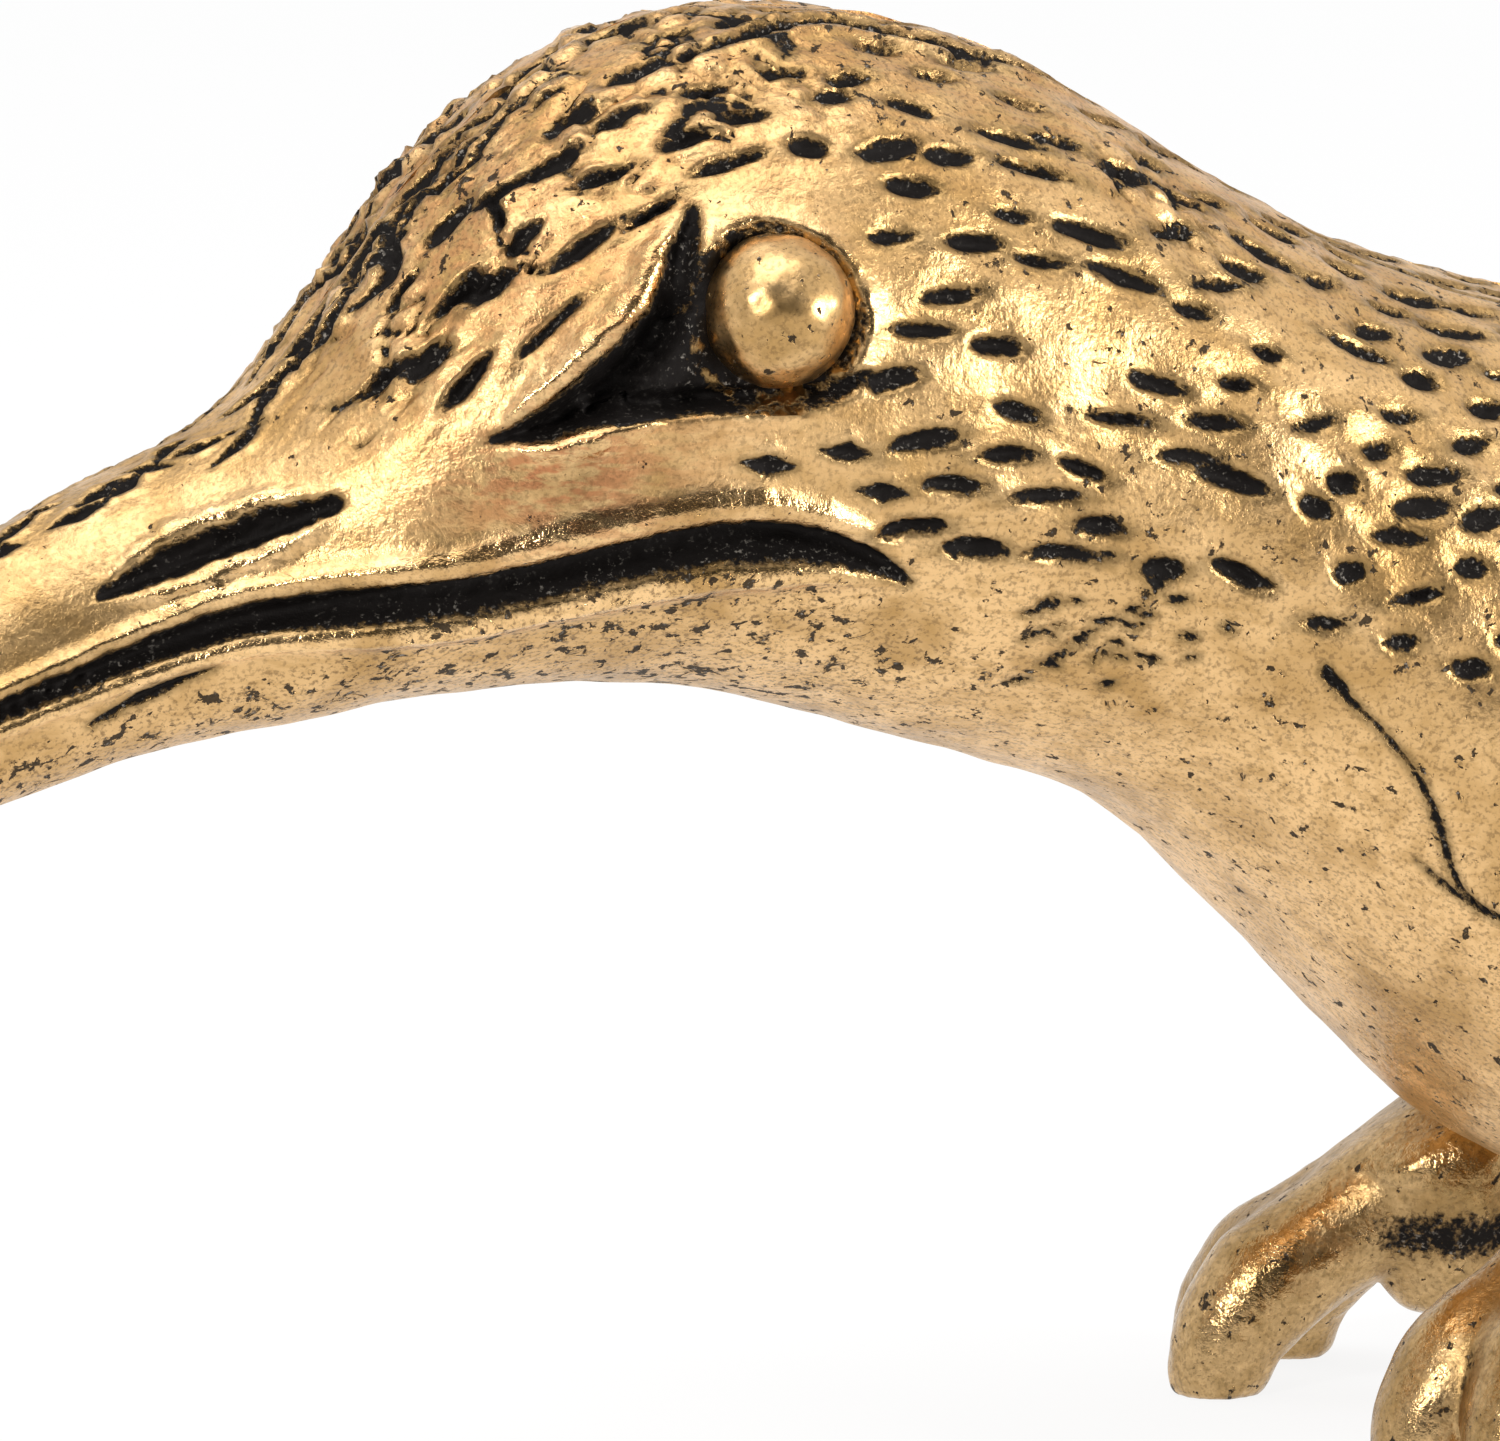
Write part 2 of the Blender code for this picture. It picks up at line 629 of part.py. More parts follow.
def toe_path(side, turn, reach, rank):
    """An arched toe: out from the ankle, over the knuckle and straight down to its pad."""
    top = leg_top(side)
    ankle = Vector((top.x, top.y, TOE_ARCH_HEIGHT))
    forward = Vector((-math.cos(turn), side * math.sin(turn), 0.0))
    form = ((0.0, 1.75), (0.25, 1.55), (0.50, 1.22), (0.78, 0.88), (0.94, 0.46), (1.0, 0.0))
    path = []
    for out, up in form:
        under = Vector((ankle.x, ankle.y, 0.0)) + forward * reach * out
        path.append(under + Vector((0.0, 0.0, TOE_ARCH_HEIGHT * up)))
    path[0] += Vector((0.0, 0.0, 0.07 * TOE_DIAMETER * rank)) - forward * 0.1 * reach
    path[-1].z = -TOE_PAD_SINK
    return path


def add_leg(side, label, seat, table, material):
    """A thigh seated on the belly, three front toes and a hind toe with flat pads, and a peg."""
    top = leg_top(side)
    thigh = [Vector((top.x, top.y, top.z + THIGH_DIAMETER * 0.25)),
             Vector((top.x, top.y, top.z)),
             Vector((top.x, top.y, (top.z + TOE_ARCH_HEIGHT) / 2)),
             Vector((top.x, top.y, 0.62 * TOE_ARCH_HEIGHT))]
    radii = [THIGH_DIAMETER / 2 * share for share in (0.95, 1.0, 0.9, 0.42)]
    leg = add_limb(f"leg_{label}", thigh, radii, Vector((1, 0, 0)), material)
    knuckles = (0.95, 1.0, 0.92, 1.0, 0.86, 0.72)
    reaches = [TOE_REACH * share for share in (1.0, 0.97, 0.92)]
    toes = list(zip(FRONT_TOE_TURNS, reaches)) + [(HIND_TOE_TURN, HIND_TOE_REACH)]
    limbs = []
    for i, (turn, reach) in enumerate(toes):
        path = toe_path(side, turn, reach, i)
        stout = (1.0, 1.05, 0.94, 0.97)[i]
        widths = [TOE_DIAMETER / 2 * share * stout for share in knuckles]
        aside = Vector((math.sin(turn), side * math.cos(turn), 0.0))
        limbs.append(add_limb(f"toe_{label}_{i}", path, widths, aside))
    combine(leg, limbs, "UNION")
    combine(leg, [seat, table], "DIFFERENCE")
    combine(leg, [leg_peg(side, label, 0.0)], "UNION")
    return leg


def leg_peg(side, label, grow):
    """The leg's peg into the belly, or the hole for it when grown."""
    top = leg_top(side)
    start = Vector((top.x, top.y, top.z - 0.4 * THIGH_DIAMETER))
    end = Vector((top.x, top.y, top.z + LEG_PEG_LENGTH + grow))
    role = "hole_tool" if grow else "peg"
    return add_cylinder(f"leg_{role}_{label}", start, end, LEG_PEG_DIAMETER + 2 * grow)


def table_tool():
    """The slab under the bird that trims the toes to flat pads."""
    mesh = bmesh.new()
    thickness = 4 * TOE_DIAMETER
    size = Matrix.Diagonal((OVERALL_LENGTH, 4 * TRUNK_WIDTH, thickness, 1.0))
    bmesh.ops.create_cube(mesh, size=1.0, matrix=Matrix.Translation((0, 0, -thickness / 2)) @ size)
    return add_object("table_tool", mesh)


def add_body_half(side, label, mortise, material):
    """One half of the beak, head, neck and trunk, with its grooves, seats and holes."""
    half = add_loft(f"body_{label}", [half_ring(side, along) for along in ring_places()], material)
    tools = [mouth_tool(side, label), nostril_tool(side, label), lid_tool(side, label)]
    tools += eye_seat_tools(side, label)
    for name, along, height, length in dowel_spots():
        bore = DOWEL_DIAMETER + 2 * BRAZE_GAP
        tools.append(add_dowel(f"{name}_hole_{label}", along, height, length + 2 * BRAZE_GAP, bore))
    tools += [wing_peg(side, label, rank, BRAZE_GAP) for rank in (0, 1)]
    tools += [leg_peg(side, label, BRAZE_GAP), mortise]
    combine(half, tools, "DIFFERENCE")
    return half


def main():
    for old in list(bpy.data.objects):
        bpy.data.objects.remove(old, do_unlink=True)
    cast = brass("antique_brass", (0.60, 0.40, 0.17), 0.32)
    bead = brass("burnished_brass", (0.66, 0.45, 0.19), 0.22)
    rod = brass("drawn_brass", (0.70, 0.49, 0.20), 0.38)
    seat, table, mortise = grown_body(), table_tool(), tenon("mortise_tool", BRAZE_GAP)
    pieces = [add_tail(cast)]
    for side, label in SIDES:
        pieces.append(add_body_half(side, label, mortise, cast))
        pieces.append(add_eye(side, label, bead))
        pieces.append(add_wing(side, label, seat, cast))
        pieces.append(add_leg(side, label, seat, table, cast))
    for name, along, height, length in dowel_spots():
        pieces.append(add_dowel(name, along, height, length, DOWEL_DIAMETER, rod))
    bird = bpy.data.objects.new("hummingbird", None)
    bpy.context.scene.collection.objects.link(bird)
    for piece in pieces:
        piece.parent = bird


main()
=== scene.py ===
"""Looks for the small cast brass hummingbird: fine castings, antiqued brass and a photo stage."""

import math

import bmesh
import bpy
import numpy as np
from mathutils import Matrix, Vector, noise


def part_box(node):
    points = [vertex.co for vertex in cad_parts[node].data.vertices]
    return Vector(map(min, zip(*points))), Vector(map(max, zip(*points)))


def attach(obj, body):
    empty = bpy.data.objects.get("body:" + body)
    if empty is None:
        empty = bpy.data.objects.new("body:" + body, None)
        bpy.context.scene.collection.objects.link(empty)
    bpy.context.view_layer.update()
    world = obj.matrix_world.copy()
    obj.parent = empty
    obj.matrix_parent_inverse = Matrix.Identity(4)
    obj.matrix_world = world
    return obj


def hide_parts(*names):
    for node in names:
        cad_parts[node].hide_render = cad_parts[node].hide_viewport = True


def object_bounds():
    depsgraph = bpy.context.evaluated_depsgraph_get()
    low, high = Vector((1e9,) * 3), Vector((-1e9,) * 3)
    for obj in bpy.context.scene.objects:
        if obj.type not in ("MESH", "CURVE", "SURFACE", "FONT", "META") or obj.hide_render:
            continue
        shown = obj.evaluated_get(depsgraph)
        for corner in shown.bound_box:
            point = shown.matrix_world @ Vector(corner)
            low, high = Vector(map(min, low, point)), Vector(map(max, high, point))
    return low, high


bl_info = {
    "name": "Brass hummingbird",
    "version": (1, 0, 0),
    "blender": (4, 5, 0),
    "location": "View3D > Sidebar > Bird",
    "description": "Builds the fine castings, finish and stage of a small brass hummingbird",
    "category": "Object",
}

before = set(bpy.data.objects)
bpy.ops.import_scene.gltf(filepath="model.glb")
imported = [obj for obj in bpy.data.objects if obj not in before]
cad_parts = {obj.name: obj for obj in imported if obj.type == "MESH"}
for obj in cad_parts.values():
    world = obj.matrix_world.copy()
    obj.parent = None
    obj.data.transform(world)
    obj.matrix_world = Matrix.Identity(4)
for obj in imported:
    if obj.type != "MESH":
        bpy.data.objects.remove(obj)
CAD_BOX = [list(corner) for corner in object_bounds()]

MM = 0.001
SIDES = ((-1, "left"), (1, "right"))
HALF_LENGTH = CAD_BOX[1][0]

# Lengths behind the beak's tip and heights above the table, as in the castings
FACE = 21.0 * MM
NAPE = 32.0 * MM
RUMP = 51.0 * MM
CHIN = 10.3 * MM
HEAD_DEPTH = 8.9 * MM
BELLY = 3.05 * MM
TRUNK_DEPTH = 12.4 * MM
WAIST_SHARE = 0.46
EYE_RADIUS = 0.96 * MM
EYE_ALONG = FACE + 6.1 * MM
EYE_HEIGHT = CHIN + 5.28 * MM
LEG_ALONG = FACE + 18.4 * MM
LEG_ASIDE = 2.8 * MM

# Each row: along, upper height, lower height, half width
BEAK_ROWS = (
    (0.0, 5.00, 4.30, 0.35),
    (6.3, 7.69, 6.05, 0.84),
    (12.6, 10.43, 7.84, 1.21),
    (17.64, 12.61, 9.25, 1.50),
    (19.53, 13.45, 9.79, 1.72),
    (21.0, 14.125, 10.125, 2.15),
)
HEAD_ROWS = (
    (0.08, 0.510, -0.006, 2.56),
    (0.22, 0.734, 0.017, 3.19),
    (0.36, 0.888, 0.026, 3.65),
    (0.52, 0.974, 0.019, 3.95),
    (0.66, 0.988, -0.013, 4.12),
    (0.81, 0.965, -0.067, 4.20),
    (0.96, 0.910, -0.125, 4.22),
)
TRUNK_ROWS = (
    (0.063, 1.165, 0.442, 4.41),
    (0.147, 1.089, 0.335, 4.76),
    (0.23, 1.027, 0.210, 5.15),
    (0.32, 0.984, 0.080, 5.50),
    (0.474, 0.927, 0.000, 5.80),
    (0.63, 0.850, 0.032, 5.35),
    (0.79, 0.734, 0.161, 4.30),
    (0.92, 0.613, 0.306, 3.00),
    (1.00, 0.556, 0.371, 2.30),
)

# Lines round the eye in millimetres: along and height from the bead's middle
BROW = ((-0.92, 1.26), (-1.18, 0.62), (-1.48, -0.06), (-2.1, -0.78), (-2.9, -1.28), (-3.6, -1.52))
BROW_WIDTHS = (0.16, 0.40, 0.46, 0.52, 0.40, 0.10)
LID = ((-2.4, -1.18), (-1.9, -1.09), (-1.2, -1.06), (-0.5, -1.07), (0.4, -1.02), (1.05, -0.82))
LID_WIDTHS = (0.16, 0.30, 0.32, 0.32, 0.36, 0.16)
EYE_CORNER_TURN = math.radians(203)
EYE_CORNER_REACH = 3.5 * MM

# The mouth's line: along and height above the chin, then places along the beak
MOUTH_CORNER = ((28.95, 1.73), (28.2, 2.13), (26.9, 2.37), (25.3, 2.19), (23.6, 1.83), (22.1, 1.67))
MOUTH_ON_BEAK = (20.6, 18.6, 15.0, 11.0, 7.0, 3.0)
MOUTH_SHARE = 0.45
MOUTH_WIDTHS = (0.10, 0.42, 0.62, 0.64, 0.58, 0.50, 0.40, 0.32, 0.26, 0.20, 0.14, 0.06)

# Each row: along, share of the beak's depth, width
NOSTRIL = ((18.95, 0.70, 0.14), (19.6, 0.71, 0.38), (20.3, 0.72, 0.44), (21.0, 0.71, 0.42),
           (21.7, 0.68, 0.24))
JAW_SLIT = ((18.8, 0.26, 0.06), (19.5, 0.30, 0.20), (20.3, 0.32, 0.05))

# Lines beside the ridge: along and distance from the ridge
CROWN_LINE = ((26.7, 1.60), (27.9, 1.34), (28.7, 1.08), (29.6, 1.12), (30.5, 1.26), (31.6, 1.14),
              (32.6, 0.92))
CROWN_WIDTHS = (0.14, 0.26, 0.32, 0.30, 0.28, 0.24, 0.10)
BACK_LINE = ((35.6, 1.3), (37.0, 1.45), (39.5, 1.7), (43.0, 1.9))

# Nicks below the eye: along and height above the chin
CHEEK_NICKS = ((26.9, 3.38), (27.9, 3.50), (28.4, 2.98))

# The crack where the folded wing begins: along and height
WING_CRACK = ((34.3, 10.75), (34.8, 10.2), (35.4, 9.55), (35.85, 8.75), (36.1, 8.15), (36.6, 7.55),
              (37.6, 7.3))
WING_CRACK_WIDTHS = (0.20, 0.07, 0.08, 0.11, 0.08, 0.12, 0.08)
CRACK_BRANCH = ((35.75, 8.2), (36.15, 7.85), (36.5, 7.62))

# Crevices where the forehead's skin has flaked: along and distance from the ridge, then widths
CREVICES = (
    (((23.95, 0.46), (23.6, 0.50), (23.3, 0.52), (23.05, 0.70), (22.98, 1.05), (22.8, 1.15),
      (22.5, 0.90)), (0.08, 0.18, 0.22, 0.28, 0.34, 0.26, 0.08)),
    (((22.45, 0.14), (22.25, 0.26), (21.95, 0.54), (21.7, 0.46), (21.4, 0.34), (21.1, 0.18)),
     (0.06, 0.18, 0.26, 0.26, 0.20, 0.08)),
    (((23.2, 2.40), (23.47, 2.58), (23.8, 2.85)), (0.10, 0.36, 0.22)),
    (((23.75, 1.75), (24.0, 1.90), (24.3, 2.00), (24.6, 2.10)), (0.06, 0.24, 0.18, 0.06)),
    (((24.02, 1.95), (24.0, 2.25), (23.95, 2.50)), (0.14, 0.17, 0.06)),
    (((24.1, 3.05), (24.2, 3.20), (24.3, 3.35)), (0.05, 0.10, 0.05)),
)

# Where the feather marks begin, how far down they go, and their lower edge above the chin
MARKS_START = 22.2 * MM
MARKS_DOWN = 9.5 * MM
MARKS_EDGE_PLACES = (28.6, 32, 36, 50)
MARKS_EDGE_HEIGHTS = (2.15, 1.8, 0.45, -2.9)
PEBBLES = 280
NECK_PITS = 34

# The body's grid has most of its columns where the carving is
COLUMNS = 400
COLUMN_SHARES = (0, 0.11, 0.86, 1)
COLUMN_PLACES = (0, 16 * MM, 40 * MM, RUMP)
RING_ROWS = 232
TIP_ROUND = 0.5 * MM

# Voxel, rounds of smoothing and swelling of the other castings
PLATE_CASTING = (0.07 * MM, 3, 0.0)
LEG_CASTING = (0.06 * MM, 70, 0.09 * MM)
CASTING_SPECKLE = 0.5
# Least patina number on the legs, which makes them darker and browner all over
LEG_DARKENING = -0.4
HOLLOW_ROUNDS = 24
STEM_RADIUS = 0.45 * MM
BEAD_NUMBERS = (("speckle", 0.45), ("copper", 0.0), ("shine", 0.6))
TUBE_SIDES = 32

# Limits of the patina number and the width of its edge
BARE, BLACK = -2.0, 2.0
PATINA_EDGE = 0.08 * MM
FINISH_NUMBERS = ("patina", "speckle", "copper", "shine")

# Each finish: height of its bumps, added polish, and the patina of a piece without numbers
FINISHES = {
    "antique": (0.055 * MM, 0.0, None),
    "burnished": (0.012 * MM, 0.06, None),
    "drawn": (0.01 * MM, 0.0, BARE),
}
GRAIN_BROWN = (0.17, 0.10, 0.045, 1.0)
# Brown of partly risen patina: tarnish, and the edge of the painted shade at the toes' roots
TARNISH_AND_SHADE_BROWN = (0.16, 0.105, 0.04, 1.0)
# Grey of the painted glints: specks of sparkle painted into the black patina
GLINT_GREY = (0.30, 0.27, 0.23, 1.0)
STREAK_STRETCH = (0.16, 1.0, 1.0)

# Each lamp: name, place, size, power
LAMPS = (
    ("top_light", (-0.03, -0.05, 0.22), 0.24, 0.30),
    ("left_light", (-0.16, -0.13, 0.10), 0.04, 0.20),
    ("right_light", (0.14, -0.14, 0.05), 0.05, 0.26),
)
TABLE_WHITE = (0.9, 0.9, 0.9, 1.0)
LAMPS_AIM = Vector((-3 * MM, 0, 11 * MM))

# The photo's view of the bird
VIEW_AZIMUTH = math.radians(-22)
VIEW_ELEVATION = math.radians(8)
VIEW_DISTANCE = 0.18
VIEW_WIDTH = 19.2 * MM
VIEW_TARGET = Vector((-2.76 * MM, 0.0, 9.88 * MM))
SENSOR_WIDTH = 36.0


def length_setting(name, millimetres, description):
    """A length that can be set in the panel."""
    return bpy.props.FloatProperty(name=name, description=description, default=millimetres * MM,
                                   unit="LENGTH")


def colour_setting(name, colour, description):
    """A colour that can be set in the panel."""
    return bpy.props.FloatVectorProperty(name=name, description=description, default=colour, size=4,
                                         subtype="COLOR")


class BirdMarks(bpy.types.PropertyGroup):
    """Sizes of the punched feather marks, the seam and the castings' waviness."""

    mark_length: length_setting("Mark length", 0.88, "Length of one punched feather mark")
    mark_width: length_setting("Mark width", 0.24, "Width of one punched feather mark")
    mark_depth: length_setting("Mark depth", 0.13, "Depth of one punched feather mark")
    mark_step: length_setting("Mark step", 1.06, "Distance between marks in a row")
    row_step: length_setting("Row step", 0.64, "Distance between rows of marks")
    seam_half: length_setting("Half seam", 0.002, "Half of the seam between the two body castings")
    uneven: length_setting("Unevenness", 0.048, "Height of the hand-made waviness of the castings")


class BirdFinish(bpy.types.PropertyGroup):
    """Colours and roughness of the antiqued brass."""

    gold: colour_setting("Gold", (0.95, 0.625, 0.30, 1.0), "Polished brass on the high places")
    dull_gold: colour_setting("Dull gold", (0.53, 0.315, 0.115, 1.0), "Slightly tarnished brass")
    copper: colour_setting("Copper", (0.60, 0.25, 0.11, 1.0), "Reddish tint of worn plating")
    # This black is also used for the painted shade at the toes' roots
    patina: colour_setting("Patina", (0.010, 0.008, 0.007, 1.0), "Blackening left in the recesses")
    roughness: bpy.props.FloatProperty(
        name="Roughness", description="Roughness of the polished brass", default=0.31,
        min=0.0, max=1.0, subtype="FACTOR")


def body_rows():
    """The body's sections in metres, from the beak's tip to the rump."""
    rows = [tuple(value * MM for value in row) for row in BEAK_ROWS]
    for table, start, end, base, depth in ((HEAD_ROWS, FACE, NAPE, CHIN, HEAD_DEPTH),
                                           (TRUNK_ROWS, NAPE, RUMP, BELLY, TRUNK_DEPTH)):
        for share, upper, lower, half in table:
            along = start + (end - start) * share
            rows.append((along, base + depth * upper, base + depth * lower, half * MM))
    return np.array(rows)


def spline_bends(knots, values):
    """Second derivatives of the natural cubic spline through the values."""
    gaps = np.diff(knots)
    slopes = np.diff(values, axis=0) / gaps[:, None]
    system = np.eye(len(knots))
    right = np.zeros_like(values)
    for i in range(1, len(knots) - 1):
        system[i, i - 1:i + 2] = gaps[i - 1], 2 * (gaps[i - 1] + gaps[i]), gaps[i]
        right[i] = 6 * (slopes[i] - slopes[i - 1])
    return np.linalg.solve(system, right)


def spline_at(knots, values, bends, at):
    """Values of the spline at the given places, one row each."""
    i = np.clip(np.searchsorted(knots, at) - 1, 0, len(knots) - 2)
    gap = (knots[i + 1] - knots[i])[:, None]
    a = (knots[i + 1] - at)[:, None] / gap
    b = 1 - a
    bend = ((a**3 - a) * bends[i] + (b**3 - b) * bends[i + 1]) * gap**2 / 6
    return a * values[i] + b * values[i + 1] + bend


ROWS = body_rows()
KNOTS, FORMS = ROWS[:, 0], ROWS[:, 1:]
BENDS = spline_bends(KNOTS, FORMS)


def section(along):
    """Upper height, lower height and half width of the body, one row per distance."""
    return spline_at(KNOTS, FORMS, BENDS, np.atleast_1d(along))


def skin(side, along, height):
    """Points of the body's side over (along, height)."""
    upper, lower, half = section(along).T
    height = np.atleast_1d(height)
    waist = lower + WAIST_SHARE * (upper - lower)
    reach = np.where(height > waist, upper - waist, waist - lower)
    across = half * np.sqrt(np.clip(1 - ((height - waist) / reach) ** 2, 0, 1))
    return np.stack([np.atleast_1d(along) - HALF_LENGTH, side * across, height], axis=-1)


def smooth_step(low, high, value):
    """A soft rise from 0 to 1 between two values, or a fall if they are swapped."""
    share = np.clip((value - low) / (high - low), 0, 1)
    return share * share * (3 - 2 * share)


def bell(value, middle, width):
    """A rounded hump of height 1."""
    return np.exp(-(((value - middle) / width) ** 2))


def waviness(points, size, seed):
    """Smooth noise between -1 and 1 at each point, with waves of about this size in millimetres."""
    shift = Vector((17.3, 5.1, 9.7)) * seed
    flat = points.reshape(-1, 3) / (size * MM)
    made = [noise.noise(Vector(point) + shift) for point in flat]
    return np.array(made).reshape(points.shape[:-1])


def dense(points, count=160):
    """Evenly numbered points along a smooth line through a few given ones."""
    points = np.asarray(points, dtype=float)
    steps = np.arange(len(points), dtype=float)
    at = np.linspace(0, len(points) - 1, count)
    return spline_at(steps, points, spline_bends(steps, points), at)


def places(verts):
    """Coordinates of vertices, one row each."""
    return np.array([vert.co for vert in verts])


class Relief:
    """Height added to the body's skin, and where its finish is black, pitted, coppery or shiny."""

    def __init__(self, side, marks):
        self.side, self.marks = side, marks
        self.along = np.interp(np.linspace(0, 1, COLUMNS), COLUMN_SHARES, COLUMN_PLACES)
        turns = np.linspace(0, math.pi, RING_ROWS)
        upper, lower, half = section(self.along).T
        tip = np.sqrt(np.clip(1 - np.clip(1 - self.along / TIP_ROUND, 0, 1) ** 2, 0.01, 1))
        axis = (upper + lower) / 2
        upper, lower, half = axis + (upper - axis) * tip, axis + (lower - axis) * tip, half * tip
        waist = lower + WAIST_SHARE * (upper - lower)
        reach = np.where(turns < math.pi / 2, (upper - waist)[:, None], (waist - lower)[:, None])
        seam = marks.seam_half
        across = seam + (half - seam)[:, None] * np.sin(turns)
        self.height = waist[:, None] + reach * np.cos(turns)
        x = np.repeat((self.along - HALF_LENGTH)[:, None], RING_ROWS, axis=1)
        self.points = np.stack([x, side * across, self.height], axis=-1)
        normals = np.cross(*np.gradient(self.points, axis=(0, 1)))
        normals /= np.linalg.norm(normals, axis=-1, keepdims=True) + 1e-12
        self.normals = normals * np.sign(normals[COLUMNS // 2, RING_ROWS // 2, 1]) * side
        gaps = np.linalg.norm(np.diff(self.points, axis=1), axis=-1)
        self.arc = np.insert(np.cumsum(gaps, axis=1), 0, 0.0, axis=1)
        self.down = self.arc / self.arc[:, -1:]
        steps = np.linalg.norm(np.diff(self.points, axis=0), axis=-1)
        self.run = np.insert(np.cumsum(steps, axis=0), 0, 0.0, axis=0)
        self.ragged = (0.8 * waviness(self.points, 0.34, 4) + waviness(self.points, 0.16, 5)
                       + 0.6 * waviness(self.points, 0.08, 6))
        self.lift = np.zeros((COLUMNS, RING_ROWS))
        self.patina = np.full((COLUMNS, RING_ROWS), BARE)

    def zones(self):
        """In millimetres: place along the body, distance from the ridge, height above the chin."""
        return self.along[:, None] / MM, self.arc / MM, (self.height - CHIN) / MM

    def grid_place(self, along, arc):
        """Column and row nearest to a place along the body and a distance down from the ridge."""
        i = int(np.argmin(np.abs(self.along - along)))
        return i, int(np.argmin(np.abs(self.arc[i] - arc)))

    def at_arc(self, route):
        """Skin points from (along, distance down from the ridge) pairs in millimetres."""
        spots = [self.grid_place(along * MM, arc * MM) for along, arc in route]
        return np.array([self.points[spot] for spot in spots])

    def side_route(self, route, along=0.0, height=0.0):
        """Skin points from (along, height) pairs in millimetres, measured from a given place."""
        alongs, heights = np.array(route).T * MM
        return skin(self.side, along + alongs, height + heights)

    def blacken(self, field):
        """Add patina where the field is blacker than what is there."""
        self.patina = np.maximum(self.patina, field)

    def groove(self, path, widths, depth, lip=0.0, black=1.0, fray=0.035, spread=0.72):
        """Engrave a line along skin points, with rounded lips beside it; sizes in millimetres."""
        path, widths = dense(path), np.array(widths) * MM
        shares = np.linspace(0, 1, len(path))
        width = np.interp(shares, np.linspace(0, 1, len(widths)), widths)
        lips = lip * MM * np.interp(shares, (0, 0.14, 0.9, 1), (0, 1, 1, 0))
        reach = max(3, 2 * spread + 1) * max(widths)
        low, high = path.min(axis=0) - reach, path.max(axis=0) + reach
        near = np.all((self.points > low) & (self.points < high), axis=-1)
        spots = self.points[near]
        gaps = np.linalg.norm(spots[:, None, :] - path[None, :, :], axis=-1)
        nearest = gaps.argmin(axis=1)
        half = width[nearest] / 2
        gap = gaps[np.arange(len(spots)), nearest]
        gap = gap + self.ragged[near] * np.minimum(fray * MM, 0.3 * half)
        share = gap / half
        fullness = half / (max(widths) / 2)
        cut = np.clip(1 - share**2, 0, 1) ** 0.75 * (depth * MM) * np.clip(fullness, 0.2, 1)
        self.lift[near] += lips[nearest] * bell(share, 1 + spread, spread) * fullness - cut
        field = np.full_like(self.patina, BARE)
        field[near] = np.clip((half * black - gap) / PATINA_EDGE, BARE, BLACK)
        self.blacken(field)

    def beak_groove(self, rows, depth, lip=0.0, fray=0.035):
        """Engrave a line from rows of place along the beak, share of its depth, and width."""
        alongs, shares, widths = np.array(rows).T
        upper, lower, _ = section(alongs * MM).T
        route = skin(self.side, alongs * MM, lower + shares * (upper - lower))
        self.groove(route, widths, depth, lip=lip, fray=fray)

    def eye_opening(self):
        """The black hollow round the bead, with its collar, brow, front corner and lower lid."""
        axis = np.array([math.cos(EYE_CORNER_TURN), math.sin(EYE_CORNER_TURN)])
        middle = skin(self.side, EYE_ALONG, EYE_HEIGHT)[0]
        spot = self.points[..., (0, 2)] - (middle[[0, 2]] - 0.06 * MM)
        run = np.clip(spot @ axis, 0, EYE_CORNER_REACH)
        gap = np.linalg.norm(spot - run[..., None] * axis, axis=-1)
        radius = (EYE_RADIUS + 0.17 * MM) * np.clip(1 - run / EYE_CORNER_REACH, 0, 1) ** 0.9
        inside = radius - gap + self.ragged * 0.05 * MM
        self.lift -= smooth_step(-0.05 * MM, 0.22 * MM, inside) * 0.30 * MM
        self.lift += smooth_step(0.0, 0.2 * MM, inside) * self.ragged * 0.03 * MM
        self.blacken(np.clip((inside - 0.02 * MM) / PATINA_EDGE, BARE, BLACK))
        self.eye_gap = -inside
        around = np.linalg.norm(self.points - middle, axis=-1)
        front = smooth_step(0.3 * MM, -0.7 * MM, spot[..., 0])
        ring, spread = (0.10 + 0.10 * front) * MM, (0.23 + 0.12 * front) * MM
        self.collar = bell(around, EYE_RADIUS + ring, spread)
        self.crust = 0.25 * front - 0.05 + 0.5 * self.ragged
        self.lift += self.collar * (0.10 * MM + self.ragged * 0.03 * MM)
        for route, widths, lip in ((BROW, BROW_WIDTHS, 0.24), (LID, LID_WIDTHS, 0.0)):
            self.groove(self.side_route(route, EYE_ALONG, EYE_HEIGHT), widths, 0.34, lip=lip,
                        fray=0.07, spread=0.95)

    def mouth(self):
        """The mouth's line, from below the eye to near the beak's tip."""
        beak = np.array(MOUTH_ON_BEAK) * MM
        upper, lower, _ = section(beak).T
        route = [self.side_route(MOUTH_CORNER, height=CHIN),
                 skin(self.side, beak, lower + MOUTH_SHARE * (upper - lower))]
        self.groove(np.concatenate(route), MOUTH_WIDTHS, 0.46, lip=0.20, fray=0.02)

